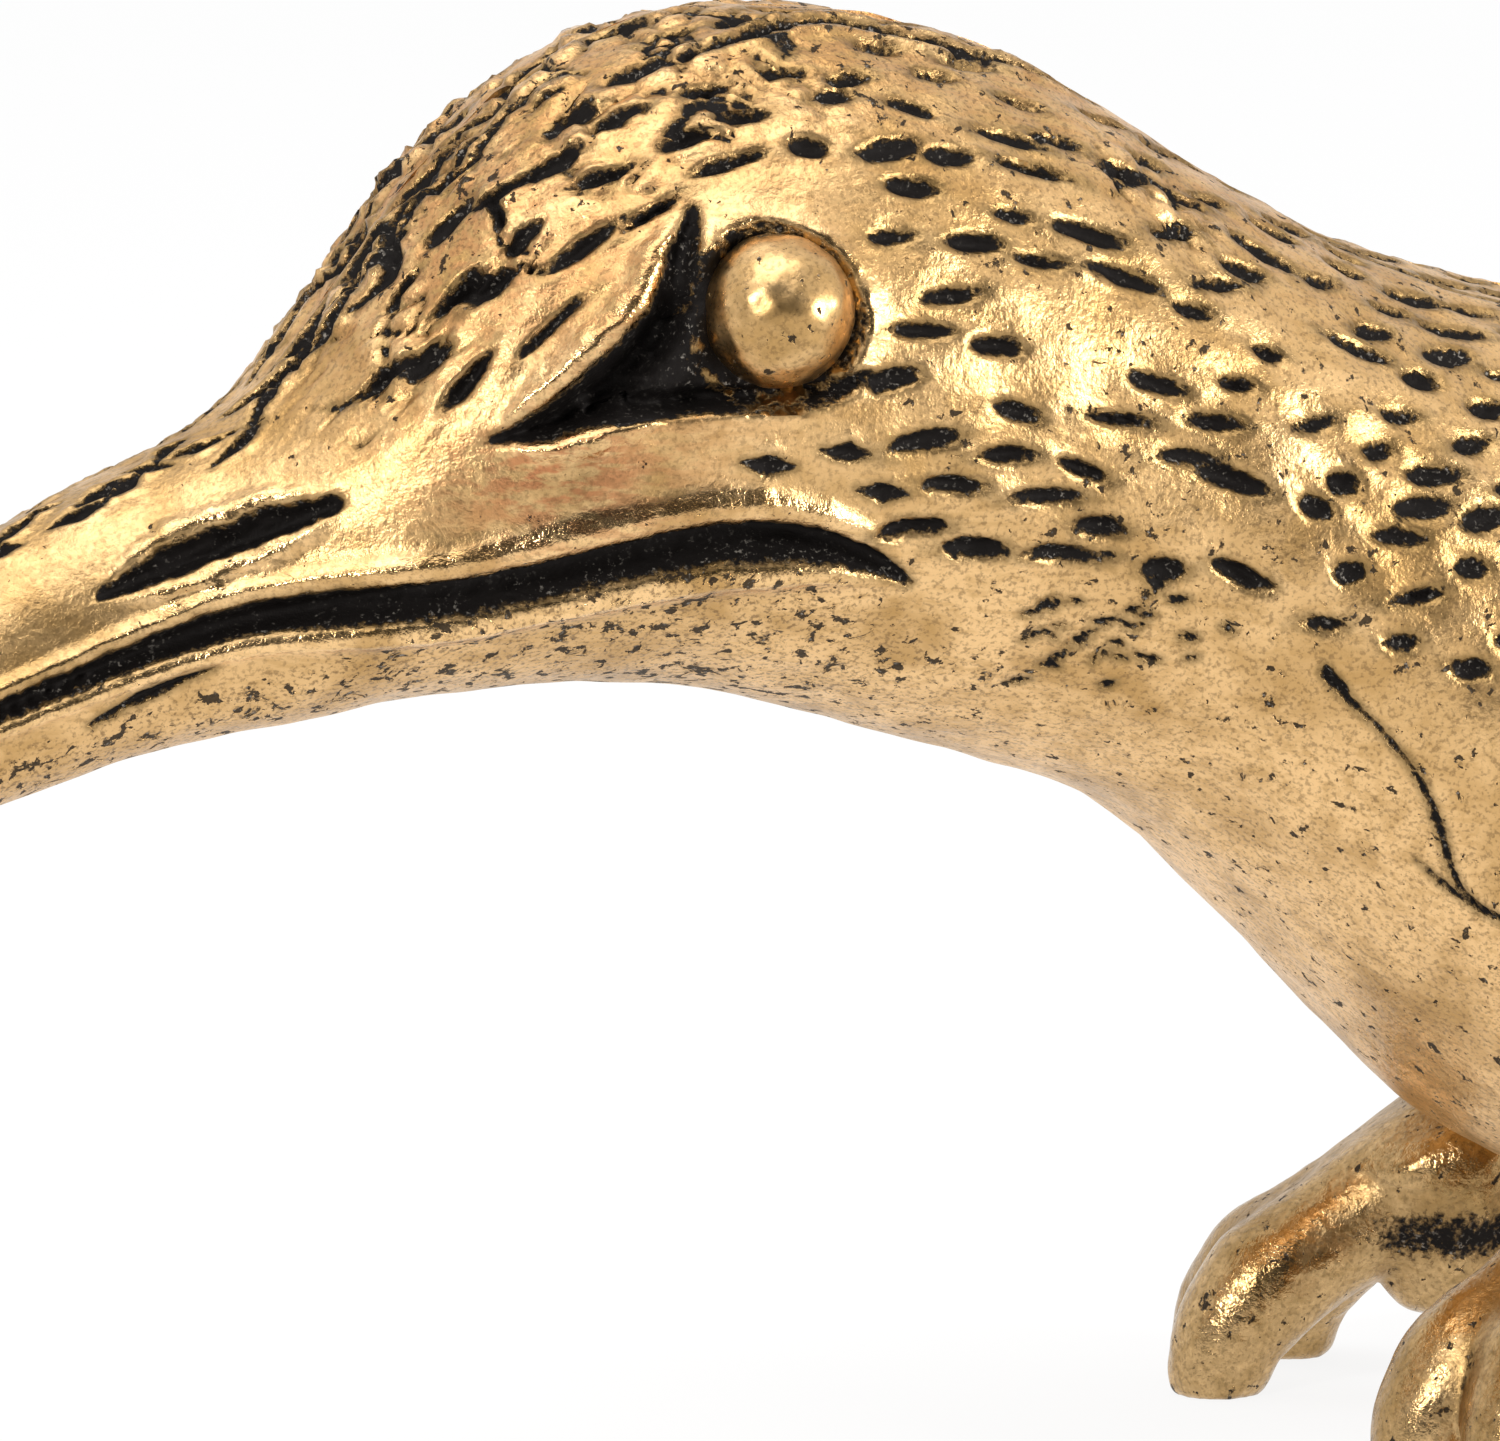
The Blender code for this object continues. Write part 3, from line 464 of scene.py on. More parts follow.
    def feather_marks(self, seed):
        """Rows of punched marks over the forehead, crown, cheek, neck and back."""
        marks, dice = self.marks, np.random.default_rng(seed)
        field = np.full_like(self.patina, BARE)
        ridge_run = self.run[:, RING_ROWS // 5]
        first_run = np.interp(MARKS_START, self.along, ridge_run)
        for rank in range(int(MARKS_DOWN / marks.row_step)):
            row_arc = (rank + 0.45) * marks.row_step
            start = first_run + (rank % 2) * 0.5 * marks.mark_step
            for place in np.arange(start, ridge_run[-1] - MM, marks.mark_step):
                along = np.interp(place + dice.normal(0, 0.14 * MM), ridge_run, self.along)
                arc = row_arc + dice.normal(0, 0.085 * MM)
                length = marks.mark_length * dice.uniform(0.62, 1.25)
                width = marks.mark_width * dice.uniform(0.65, 1.25)
                depth = marks.mark_depth * dice.uniform(0.6, 1.2)
                wobble = dice.normal(0.02, 0.12)
                skipped = dice.random() < np.interp(along / MM, (25.5, 27.0), (0.24, 0.12))
                if not skipped and self.takes_mark(along, arc):
                    self.punch(field, along, arc, (length, width, depth), wobble)
        along, arc, _ = self.zones()
        worn = bell(along, 30.5, 4.5) * smooth_step(3.6, 1.8, arc)
        self.blacken(np.minimum(field, BLACK - 2.05 * worn))

    def takes_mark(self, along, arc):
        """Whether a mark belongs at this place: not on the face, the throat or the breast."""
        i, j = self.grid_place(along, arc)
        place, above = along / MM, (self.height[i, j] - CHIN) / MM
        eye_gap = self.eye_gap[i, j] / MM
        if eye_gap < 0.24 or self.patina[i, j] > -1.5:
            return False
        if place < MARKS_EDGE_PLACES[0]:
            clear = 0.6 if along < EYE_ALONG else 0.38
            return eye_gap > clear and above > (4.3 if place < 24.5 else 4.2)
        return above > np.interp(place, MARKS_EDGE_PLACES, MARKS_EDGE_HEIGHTS)

    def punch(self, field, along, arc, size, wobble):
        """Sink one lens-shaped mark in a shallow pool, with a low rim, and blacken it."""
        length, width, depth = size
        i, j = self.grid_place(along, arc)
        before, after = self.points[i - 2, j], self.points[i + 2, j]
        fall = math.atan2(before[2] - after[2], after[0] - before[0])
        tilt = wobble - fall * np.interp(along / MM, (26, 29), (0.25, 0.62))
        length *= np.interp(along / MM, (25.5, 27.5, 32), (1.05, 1.0, 1.05))
        ends = self.run[i, j] - MM, self.run[i, j] + MM
        first, last = np.searchsorted(self.run[:, j], ends)
        run = (self.run[first:last, j] - self.run[i, j])[:, None]
        rise = self.arc[first:last] - arc
        u = (run * math.cos(tilt) + rise * math.sin(tilt)) / (length / 2)
        v = (rise * math.cos(tilt) - run * math.sin(tilt)) / (width / 2)
        lens = np.sqrt(np.abs(u) ** 2.2 + v**2) * (1 + 0.22 * self.ragged[first:last])
        cut = np.clip(1 - lens**2, 0, 1) ** 0.6 * depth
        rim = bell(lens, 1.5, 0.4) * 0.020 * MM
        pool = np.exp(-((run / (0.42 * MM)) ** 2 + (rise / (0.29 * MM)) ** 2)) * 0.075 * MM
        self.lift[first:last] += rim - cut - pool
        part = np.clip((1 - lens) * width / 2 / PATINA_EDGE, BARE, BLACK)
        field[first:last] = np.maximum(field[first:last], part)

    def pebbles(self, seed):
        """Small rounded grains with black cracks between them, on the forehead and crown."""
        dice = np.random.default_rng(seed)
        along, arc, _ = self.zones()
        share = smooth_step(21.0, 23.0, along) * smooth_step(30.0, 26.5, along)
        share = share * smooth_step(3.9, 2.6, arc) + bell(along, 32.6, 0.8) * bell(arc, 3.0, 0.7)
        patchy = smooth_step(-0.35, 0.10, waviness(self.points, 0.9, 7))
        share = share * patchy * smooth_step(0.0, 0.2, arc)
        first, last = np.searchsorted(self.along, (20.5 * MM, 34.0 * MM))
        down = int(np.argmin(np.abs(self.arc[(first + last) // 2] - 4.2 * MM)))
        zone = self.points[first:last, :down]
        spots = zone.reshape(-1, 3)
        seeds = spots[dice.choice(len(spots), PEBBLES, replace=False)]
        gaps = np.sort(np.linalg.norm(spots[:, None] - seeds[None], axis=-1), axis=1)[:, :2]
        inner, outer = gaps.T.reshape(2, *zone.shape[:2])
        border = outer - inner
        cell = np.clip(border / (0.26 * MM), 0, 1)
        share = share[first:last, :down]
        self.lift[first:last, :down] += share * (np.sqrt(cell) - 0.6) * 0.19 * MM
        open_up = waviness(zone, 0.8, 8)
        crack = np.clip((0.03 * MM + 0.09 * MM * open_up - border) / (0.06 * MM), BARE, 1.5)
        crack = np.maximum(crack, np.clip(-border / (0.06 * MM), BARE, 0) - 0.35)
        crack = crack - 2.0 * (1 - smooth_step(0.10, 0.75, share))
        self.patina[first:last, :down] = np.maximum(self.patina[first:last, :down], crack)

    def flakes(self, seed):
        """Short broken creases along the ridge of the beak and the edge of the forehead."""
        dice = np.random.default_rng(seed)
        for along in np.arange(16.2, 25.4, 0.34):
            arc = np.interp(along, (16, 21, 25.4), (0.38, 0.55, 1.0)) + dice.normal(0, 0.17)
            long, wide = dice.uniform(0.18, 0.40), dice.uniform(0.12, 0.30)
            slope = dice.normal(0, 0.12)
            ends = [(along - long, arc - slope), (along, arc), (along + long, arc + slope)]
            route = self.at_arc([(place, max(down, 0.15)) for place, down in ends])
            self.groove(route, (0.06, wide, 0.06), 0.10, lip=0.04, fray=0.08)

    def crevices(self):
        """Deep gaps between the forehead's flaked plates, a little further back on the right."""
        shift = 0.45 if self.side > 0 else 0.0
        for route, widths in CREVICES:
            route = self.at_arc([(along + shift, arc) for along, arc in route])
            self.groove(route, widths, 0.15, lip=0.06, fray=0.09)

    def neck_pits(self, seed):
        """A patch of small casting pits low on the side of the neck."""
        dice = np.random.default_rng(seed + 60)
        for _ in range(NECK_PITS):
            along, height = dice.normal(31.5, 0.75), dice.normal(1.05, 0.50)
            length, lean = dice.uniform(0.08, 0.24), dice.normal(0, 0.3)
            route = [(along - length / 2, height + lean * length), (along, height),
                     (along + length / 2, height - lean * length)]
            widths = np.array([0.6, 1.0, 0.5]) * dice.uniform(0.07, 0.15)
            self.groove(self.side_route(route, height=CHIN), widths, 0.06, black=0.95)

    def shoulder(self):
        """The thin crack in the skin where the folded wing begins, and its branch."""
        self.groove(self.side_route(WING_CRACK), WING_CRACK_WIDTHS, 0.09, lip=0.02, black=0.9)
        self.groove(self.side_route(CRACK_BRANCH), (0.05, 0.12, 0.05), 0.05, black=0.8)

    def cheek_nicks(self):
        """Three short nicks between the eye and the corner of the mouth."""
        for along, height in CHEEK_NICKS:
            route = [(along - 0.34, height + 0.04), (along, height), (along + 0.34, height - 0.05)]
            self.groove(self.side_route(route, height=CHIN), (0.05, 0.26, 0.05), 0.10, lip=0.03)

    def carve(self, seed):
        """Engrave, punch and grain the skin, then spread the finish over it."""
        self.eye_opening()
        self.mouth()
        self.beak_groove(NOSTRIL, 0.28, lip=0.10, fray=0.06)
        self.beak_groove(JAW_SLIT, 0.10)
        self.groove(self.at_arc(CROWN_LINE), CROWN_WIDTHS, 0.20, lip=0.10, fray=0.05)
        self.flakes(seed)
        self.groove(self.at_arc(BACK_LINE), (0.04, 0.12, 0.12, 0.04), 0.07, black=0.9)
        self.shoulder()
        self.feather_marks(seed)
        self.pebbles(seed)
        self.crevices()
        self.neck_pits(seed)
        self.cheek_nicks()
        swell = waviness(self.points, 1.5, 1) + 0.45 * waviness(self.points, 0.55, 2)
        on_head = smooth_step(14 * MM, 22 * MM, self.along)[:, None]
        self.lift += swell * self.marks.uneven * (0.35 + 0.65 * on_head)
        self.spread_pits()
        self.spread_patina()
        self.spread_tints()

    def spread_pits(self):
        """Fine pits: many on the forehead, throat, crown and jaw, fewer on the neck."""
        along, arc, above = self.zones()
        scaly = bell(along, 24.2, 2.8) * smooth_step(4.2, 1.6, arc)
        throat = bell(along, 28.0, 5.0) * smooth_step(2.2, 0.4, above)
        neck = smooth_step(27, 30, along) * smooth_step(47, 41, along)
        neck = np.broadcast_to(neck, arc.shape)
        crown = bell(along, 29, 5) * smooth_step(4.5, 2.5, arc)
        jaw = smooth_step(30.5, 27.5, along) * smooth_step(0.60, 0.70, self.down)
        zones = [0.8 * scaly, 0.9 * throat, 0.58 * neck, 0.8 * crown, 0.95 * jaw]
        self.speckle = np.clip(np.maximum.reduce(zones), 0.25, 1)

    def spread_patina(self):
        """Crust on the collar round the bead, and thin tarnish on the face and beak."""
        along, _, above = self.zones()
        blacked = smooth_step(-1.0, 0.5, self.patina)
        self.patina -= self.collar * (self.patina - self.crust) * blacked
        face = bell(along, 24.0, 2.8) * bell(above, 4.2, 2.4)
        beak = bell(along, 18.5, 3.0) * smooth_step(0.66, 0.50, self.down)
        cheek = 1.15 * bell(along, 24.6, 2.2) * bell(above, 3.2, 0.9)
        uneven = 0.35 * waviness(self.points, 0.7, 9)
        tarnish = np.maximum.reduce([0.8 * face, 1.1 * beak, cheek])
        self.blacken((1.0 + uneven) * tarnish + BARE)

    def spread_tints(self):
        """Copper on the cheek and crown, polish on high places, painted sheen on the belly."""
        along, arc, above = self.zones()
        flush = bell(along, 24.3, 1.3) * bell(above, 3.25, 0.7)
        blush = bell(along, 25.0, 2.5) * bell(above, 5.55, 1.6)
        warm = smooth_step(21, 24, along) * smooth_step(40, 33, along) * smooth_step(5.0, 1.5, arc)
        self.copper = np.clip(flush + 0.35 * blush + 0.22 * warm, 0, 1)
        # Painted reflection: the lower breast and belly get high shine, so their gold is brighter
        # and less dull, standing for the white table mirrored in the brass.
        belly = smooth_step(0.50, 0.72, self.down) * smooth_step(23, 29, along)
        self.shine = np.maximum(smooth_step(-0.08 * MM, 0.10 * MM, self.lift), 0.82 * belly)

    def carved_points(self):
        """The skin with its relief, kept on its own side of the seam."""
        made = self.points + self.normals * self.lift[..., None]
        made[:, (0, -1), 1] = self.side * self.marks.seam_half
        made[..., 1] = self.side * np.maximum(made[..., 1] * self.side, self.marks.seam_half)
        return made


def add_object(name, data):
    """Link a new object to the scene."""
    made = bpy.data.objects.new(name, data)
    bpy.context.scene.collection.objects.link(made)
    return made


def add_mesh(name, mesh):
    """Turn a bmesh into a new object."""
    data = bpy.data.meshes.new(name)
    mesh.to_mesh(data)
    mesh.free()
    return add_object(name, data)


def aim(thing, place, direction):
    """Put a lamp or a camera at a place, looking in a direction."""
    thing.location = place
    thing.rotation_mode = "QUATERNION"
    thing.rotation_quaternion = direction.to_track_quat("-Z", "Y")


def add_piece(name, mesh, material, node):
    """Turn a bmesh into a piece that rides on the bird and stands for a casting."""
    piece = add_mesh(name, mesh)
    piece.data.shade_smooth()
    piece.data.materials.append(material)
    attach(piece, "root")
    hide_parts(node)
    return piece


def store(data, name, values):
    """Keep one number per vertex, or the same for all, for the finish to read."""
    layer = data.attributes.new(name, "FLOAT", "POINT")
    values = np.broadcast_to(values, len(data.vertices))
    layer.data.foreach_set("value", np.ascontiguousarray(values, dtype=np.float32))


def add_body_half(side, label, marks):
    """One half of the body as a closed casting with a flat inner face."""
    relief = Relief(side, marks)
    relief.carve(seed=3 + side)
    mesh = bmesh.new()
    bmesh.ops.create_grid(mesh, x_segments=COLUMNS - 1, y_segments=RING_ROWS - 1, size=1.0)
    flat = places(mesh.verts)
    i = np.rint((flat[:, 0] + 1) / 2 * (COLUMNS - 1)).astype(int)
    j = np.rint((flat[:, 1] + 1) / 2 * (RING_ROWS - 1)).astype(int)
    for vert, point in zip(mesh.verts, relief.carved_points()[i, j]):
        vert.co = point
    order = {(a, b): vert for a, b, vert in zip(i, j, mesh.verts)}
    for end in (0, COLUMNS - 1):
        mesh.faces.new([order[end, b] for b in range(RING_ROWS)])
    bmesh.ops.holes_fill(mesh, edges=mesh.edges)
    bmesh.ops.recalc_face_normals(mesh, faces=mesh.faces)
    node = f"body_{label}"
    piece = add_piece(f"cast_{node}", mesh, brass("antique"), node)
    piece.data.set_sharp_from_angle(angle=math.radians(70))
    for name in FINISH_NUMBERS:
        store(piece.data, name, getattr(relief, name)[i, j])


def cast_copy(node, voxel, rounds):
    """The casting's own shape with softened edges, as a fresh bmesh."""
    mesh = bmesh.new()
    mesh.from_mesh(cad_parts[node].data)
    bmesh.ops.remove_doubles(mesh, verts=mesh.verts, dist=0.002 * MM)
    rough = add_mesh("rough", mesh)
    remesh = rough.modifiers.new("remesh", "REMESH")
    remesh.mode = "VOXEL"
    remesh.voxel_size = voxel
    made = bmesh.new()
    made.from_object(rough, bpy.context.evaluated_depsgraph_get())
    bpy.data.meshes.remove(rough.data)
    for _ in range(rounds):
        bmesh.ops.smooth_vert(made, verts=made.verts, factor=0.5,
                              use_axis_x=True, use_axis_y=True, use_axis_z=True)
    return made


def hollows(data):
    """How far each vertex lies below the smoothed surface round it, in metres."""
    points = places(data.vertices)
    ends, others = np.array([edge.vertices[:] for edge in data.edges]).T
    links = np.bincount(np.concatenate([ends, others]), minlength=len(points))[:, None]
    smooth = points.copy()
    for _ in range(HOLLOW_ROUNDS):
        total = np.zeros_like(smooth)
        np.add.at(total, ends, smooth[others])
        np.add.at(total, others, smooth[ends])
        smooth = total / links
    normals = np.array([vert.normal for vert in data.vertices])
    return ((smooth - points) * normals).sum(axis=1)


def soft_casting(node, voxel, rounds, swell):
    """A wing, leg or tail with softened edges and a slightly uneven surface."""
    mesh = cast_copy(node, voxel, rounds)
    mesh.normal_update()
    for vert in mesh.verts:
        bumps = noise.noise(vert.co / (0.6 * MM)) + 0.5 * noise.noise(vert.co / (0.25 * MM))
        vert.co += vert.normal * (swell + bumps * 0.025 * MM)
        vert.co.z = max(vert.co.z, 0.0)
    return mesh


def finish_casting(node, mesh, darkening=BARE):
    """Make the softened casting a piece, black in its hollows and never lighter than the darkening.
    """
    piece = add_piece(f"cast_{node}", mesh, brass("antique"), node)
    depth = hollows(piece.data)
    store(piece.data, "patina", np.clip(depth / (0.035 * MM) - 0.6, darkening, BLACK))
    store(piece.data, "speckle", CASTING_SPECKLE)
    store(piece.data, "copper", 0.0)
    store(piece.data, "shine", smooth_step(0.03 * MM, -0.03 * MM, depth))
    return piece


def sink_shoulder(mesh, side):
    """Let the front of a wing run smoothly into the body's skin."""
    points = places(mesh.verts)
    along = points[:, 0] + HALF_LENGTH
    share = smooth_step(41.0, 37.8, along / MM)
    lift = points[:, 1] * side - np.abs(skin(side, along, points[:, 2])[:, 1])
    for vert, part, rise in zip(mesh.verts, share, lift):
        vert.co.y -= side * part * max(0.0, rise + 0.34 * MM)


def tuck_thigh(mesh):
    """Draw the thigh back under the breast, so that the toes come straight out from the belly."""
    x, _, z = places(mesh.verts).T / MM
    front = smooth_step(1.2, -1.2, x - (LEG_ALONG - HALF_LENGTH) / MM)
    for vert, share in zip(mesh.verts, front * smooth_step(3.0, 4.2, z)):
        vert.co.x += 1.4 * MM * share


def paint_ankle_shade(data):
    """Paint shade on the toes' roots under the belly, raising their patina number towards black."""
    x, y, z = places(data.vertices).T
    out = np.hypot(x - (LEG_ALONG - HALF_LENGTH), np.abs(y) - LEG_ASIDE)
    root = bell(out, 0.0, 1.7 * MM) * bell(z, 2.2 * MM, 0.5 * MM)
    patina = data.attributes["patina"].data
    old = np.empty(len(x), dtype=np.float32)
    patina.foreach_get("value", old)
    patina.foreach_set("value", np.maximum(old, 1.9 * root - 0.9).astype(np.float32))


def new_group(name, inputs, outputs):
    """An empty shader group with named sockets: one for a colour, the others for numbers."""
    group = bpy.data.node_groups.new(name, "ShaderNodeTree")
    for way, labels in (("INPUT", inputs), ("OUTPUT", outputs)):
        for label in labels:
            kind = "NodeSocketColor" if label == "Color" else "NodeSocketFloat"
            group.interface.new_socket(label, in_out=way, socket_type=kind)
    return group


class Wiring:
    """Short ways to add and link shader nodes in one tree."""

    def __init__(self, tree):
        self.tree = tree

    def node(self, kind, **settings):
        made = self.tree.nodes.new(kind)
        for key, value in settings.items():
            setattr(made, key, value)
        return made

    def link(self, value, socket):
        if isinstance(value, bpy.types.NodeSocket):
            self.tree.links.new(value, socket)
        else:
            socket.default_value = value

    def fill(self, made, **values):
        for label, value in values.items():
            self.link(value, made.inputs[label])

    def math(self, operation, *values, clamp=False):
        made = self.node("ShaderNodeMath", operation=operation, use_clamp=clamp)
        for value, socket in zip(values, made.inputs):
            self.link(value, socket)
        return made.outputs[0]

    def share(self, value, part):
        return self.math("MULTIPLY", value, part)

    def line(self, value, slope, start, clamp=False):
        return self.math("MULTIPLY_ADD", value, slope, start, clamp=clamp)

    def ramp(self, value, low, high, start=0.0, end=1.0):
        made = self.node("ShaderNodeMapRange", interpolation_type="SMOOTHSTEP")
        for item, socket in zip((value, low, high, start, end), made.inputs):
            self.link(item, socket)
        return made.outputs[0]

    def noise(self, where, scale, detail=3.0, roughness=0.5, warp=0.0):
        made = self.node("ShaderNodeTexNoise")
        self.fill(made, Vector=where, Scale=scale, Detail=detail, Roughness=roughness,
                  Distortion=warp)
        return made.outputs["Fac"]

    def blend(self, share, first, second):
        made = self.node("ShaderNodeMix", data_type="RGBA")
        self.fill(made, Factor=share, A=first, B=second)
        return made.outputs["Result"]


def antique_group(finish):
    """Polished gold with tarnish, copper tints and pits; black patina with painted glints."""
    group = new_group("antique finish", ("Patina", "Speckle", "Copper", "Shine", "Polish"),
                      ("Color", "Roughness", "Metallic", "Height"))
    wires = Wiring(group)
    given = wires.node("NodeGroupInput").outputs
    result = wires.node("NodeGroupOutput").inputs
    where = wires.node("ShaderNodeTexCoord").outputs["Object"]
    bright, dull = tuple(finish.gold), tuple(finish.dull_gold)
    fine = wires.noise(where, 9000, 4.0, 0.6)
    grain = wires.noise(where, 15000, 3.0, 0.6)
    cloud = wires.noise(where, 620, 4.0, 0.55, 0.6)
    spots = wires.noise(where, 4400, 4.0, 0.6, 0.3)
    crumbs = wires.noise(where, 2300, 4.0, 0.65, 0.8)
    frayed = wires.line(wires.math("SUBTRACT", fine, 0.5), 1.6, given["Patina"])
    black = wires.ramp(frayed, -0.15, 0.25)
    level = wires.line(given["Speckle"], -0.146, 0.715)
    pits = wires.ramp(spots, level, wires.math("ADD", level, 0.03))
    heavy = wires.line(given["Speckle"], -0.19, 0.80)
    crust = wires.ramp(crumbs, heavy, wires.math("ADD", heavy, 0.04))
    dark = wires.math("MAXIMUM", black, wires.share(wires.math("MAXIMUM", pits, crust), 0.93))
    gold = wires.blend(wires.ramp(cloud, 0.42, 0.72), bright, dull)
    gold = wires.blend(wires.share(wires.ramp(crumbs, 0.48, 0.66), 0.45), gold, dull)
    drawn_out = wires.node("ShaderNodeVectorMath", operation="MULTIPLY")
    wires.link(where, drawn_out.inputs[0])
    wires.link(STREAK_STRETCH, drawn_out.inputs[1])
    streaks = wires.noise(drawn_out.outputs[0], 7000, 4.0, 0.6)
    gold = wires.blend(wires.share(wires.ramp(streaks, 0.50, 0.66), 0.40), gold, dull)
    # Dull gold where Shine is low: wear polish makes the high places brighter, and a painted sheen
    # makes the belly brighter, standing for the table's reflection.
    low = wires.line(given["Shine"], -0.85, 0.75, clamp=True)
    gold = wires.blend(low, gold, dull)
    tint = wires.share(given["Copper"], wires.ramp(streaks, 0.40, 0.58))
    gold = wires.blend(tint, gold, tuple(finish.copper))
    brown = wires.share(wires.ramp(grain, 0.48, 0.66), wires.line(given["Speckle"], 0.45, 0.26))
    gold = wires.blend(brown, gold, GRAIN_BROWN)
    # Brown where the patina number is partly up: tarnish on the face, on the beak and at the edges
    # of the black, the legs' darker tone, and the edge of the painted shade at the toes' roots.
    gold = wires.blend(wires.share(wires.ramp(frayed, -1.6, 0.0), 0.62), gold, TARNISH_AND_SHADE_BROWN)
    # Painted glints: grey flecks mixed into the black patina stand for light sparkling off its
    # rough surface.
    painted_glint = wires.share(wires.ramp(grain, 0.56, 0.68), wires.ramp(frayed, 2.6, 0.2))
    painted_glint = wires.share(painted_glint, wires.ramp(crumbs, 0.44, 0.60))
    darkening = wires.blend(wires.share(painted_glint, 0.85), tuple(finish.patina), GLINT_GREY)
    wires.link(wires.blend(dark, gold, darkening), result["Color"])
    rough = wires.line(wires.math("SUBTRACT", fine, 0.5), 0.22, finish.roughness)
    rough = wires.line(cloud, 0.10, rough)
    mixed = wires.math("ADD", rough, wires.share(dark, 0.28), clamp=True)
    rubbed = wires.ramp(given["Shine"], 0.80, 1.0)
    mixed = wires.line(rubbed, -0.17, mixed)
    mixed = wires.math("SUBTRACT", mixed, given["Polish"], clamp=True)
    wires.link(mixed, result["Roughness"])
    wires.link(wires.line(dark, -0.45, 1.0), result["Metallic"])
    relief = wires.line(grain, 0.10, wires.share(fine, 0.30))
    relief = wires.line(crumbs, 0.35, relief)
    wires.link(wires.line(dark, -0.55, relief), result["Height"])
    return group


def new_material(name):
    """A material with its wiring and its main shader."""
    material = bpy.data.materials.new(name)
    material.use_nodes = True
    return material, Wiring(material.node_tree), material.node_tree.nodes["Principled BSDF"]


def brass_material(name, group, bump, polish, patina):
    """A brass finish that reads the piece's numbers, or has one patina all over."""
    material, wires, shader = new_material(name)
    finish = wires.node("ShaderNodeGroup", node_tree=group)
    wires.fill(finish, Polish=polish)
    if patina is None:
        for label in FINISH_NUMBERS:
            numbers = wires.node("ShaderNodeAttribute", attribute_type="GEOMETRY",
                                 attribute_name=label)
            wires.link(numbers.outputs["Fac"], finish.inputs[label.capitalize()])
    else:
        wires.fill(finish, Patina=patina, Shine=0.5)
    lumps = wires.node("ShaderNodeBump")
    made = finish.outputs
    wires.fill(lumps, Strength=1.0, Distance=bump, Height=made["Height"])
    wires.fill(shader, Roughness=made["Roughness"], Metallic=made["Metallic"],
               Normal=lumps.outputs["Normal"])
    wires.link(made["Color"], shader.inputs["Base Color"])
    wires.link(0.18, shader.inputs["Specular IOR Level"])
    return material


def brass(kind):
    """The bird's finishes, made once."""
    finish = bpy.context.scene.bird_finish
    group = bpy.data.node_groups.get("antique finish") or antique_group(finish)
    made = bpy.data.materials.get(f"{kind} finish")
    if made is None:
        made = brass_material(f"{kind} finish", group, *FINISHES[kind])
    return made


class BIRD_OT_body(bpy.types.Operator):
    """Model the two body castings with their grooves and feather marks"""

    bl_idname = "bird.body"
    bl_label = "Body castings"

    def execute(self, context):
        for side, label in SIDES:
            add_body_half(side, label, context.scene.bird_marks)
        return {"FINISHED"}


class BIRD_OT_eyes(bpy.types.Operator):
    """Model the bead eyes on their stems"""

    bl_idname = "bird.eyes"
    bl_label = "Eyes"

    def execute(self, context):
        for side, label in SIDES:
            surface = skin(side, EYE_ALONG, EYE_HEIGHT)[0]
            centre = Vector(surface) - Vector((0, side * 0.15 * EYE_RADIUS, 0))
            turn = Matrix.Rotation(math.pi / 2, 4, "X")
            mesh = bmesh.new()
            bmesh.ops.create_uvsphere(mesh, u_segments=96, v_segments=48, radius=EYE_RADIUS,
                                      matrix=Matrix.Translation(centre) @ turn)
            for vert in mesh.verts:
                out = (vert.co - centre).normalized()
                dents = noise.noise(vert.co / (0.45 * MM)) + 0.3 * noise.noise(vert.co / (0.2 * MM))
                vert.co += out * dents * 0.038 * MM
            low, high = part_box(f"eye_{label}")
            inner = max((low.y, high.y), key=lambda y: -y * side)
            middle = (centre.y + inner) / 2
            bmesh.ops.create_cone(mesh, cap_ends=True, segments=TUBE_SIDES, radius1=STEM_RADIUS,
                                  radius2=STEM_RADIUS, depth=abs(centre.y - inner),
                                  matrix=Matrix.Translation((centre.x, middle, centre.z)) @ turn)
            bmesh.ops.recalc_face_normals(mesh, faces=mesh.faces)
            bead = add_piece(f"bead_eye_{label}", mesh, brass("burnished"), f"eye_{label}")
            points = places(bead.data.vertices)
            sunk = (surface[1] - points[:, 1]) * side / MM
            store(bead.data, "patina", np.clip((sunk - 0.38) * 6, -1.15, BLACK))
            for name, value in BEAD_NUMBERS:
                store(bead.data, name, value)
        return {"FINISHED"}


class BIRD_OT_wings(bpy.types.Operator):
    """Model the folded wing castings"""

    bl_idname = "bird.wings"
    bl_label = "Wings"

    def execute(self, context):
        for side, label in SIDES:
            mesh = soft_casting(f"wing_{label}", *PLATE_CASTING)
            sink_shoulder(mesh, side)
            finish_casting(f"wing_{label}", mesh)
        return {"FINISHED"}


class BIRD_OT_tail(bpy.types.Operator):
    """Model the tail fan"""

    bl_idname = "bird.tail"
    bl_label = "Tail"

    def execute(self, context):
        mesh = soft_casting("tail", *PLATE_CASTING)
        finish_casting("tail", mesh)
        return {"FINISHED"}


class BIRD_OT_legs(bpy.types.Operator):
    """Model the legs and toes"""

    bl_idname = "bird.legs"
    bl_label = "Legs"

    def execute(self, context):
        for _, label in SIDES:
            mesh = soft_casting(f"leg_{label}", *LEG_CASTING)
            tuck_thigh(mesh)
            # The toes' roots get painted shade where the belly overhangs them.
            paint_ankle_shade(finish_casting(f"leg_{label}", mesh, LEG_DARKENING).data)
        return {"FINISHED"}


class BIRD_OT_dowels(bpy.types.Operator):
    """Finish the hidden dowels"""

    bl_idname = "bird.dowels"
    bl_label = "Dowels"

    def execute(self, context):
        for node in ("neck_dowel", "trunk_dowel"):
            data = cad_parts[node].data
            data.materials.clear()
            data.materials.append(brass("drawn"))
        return {"FINISHED"}


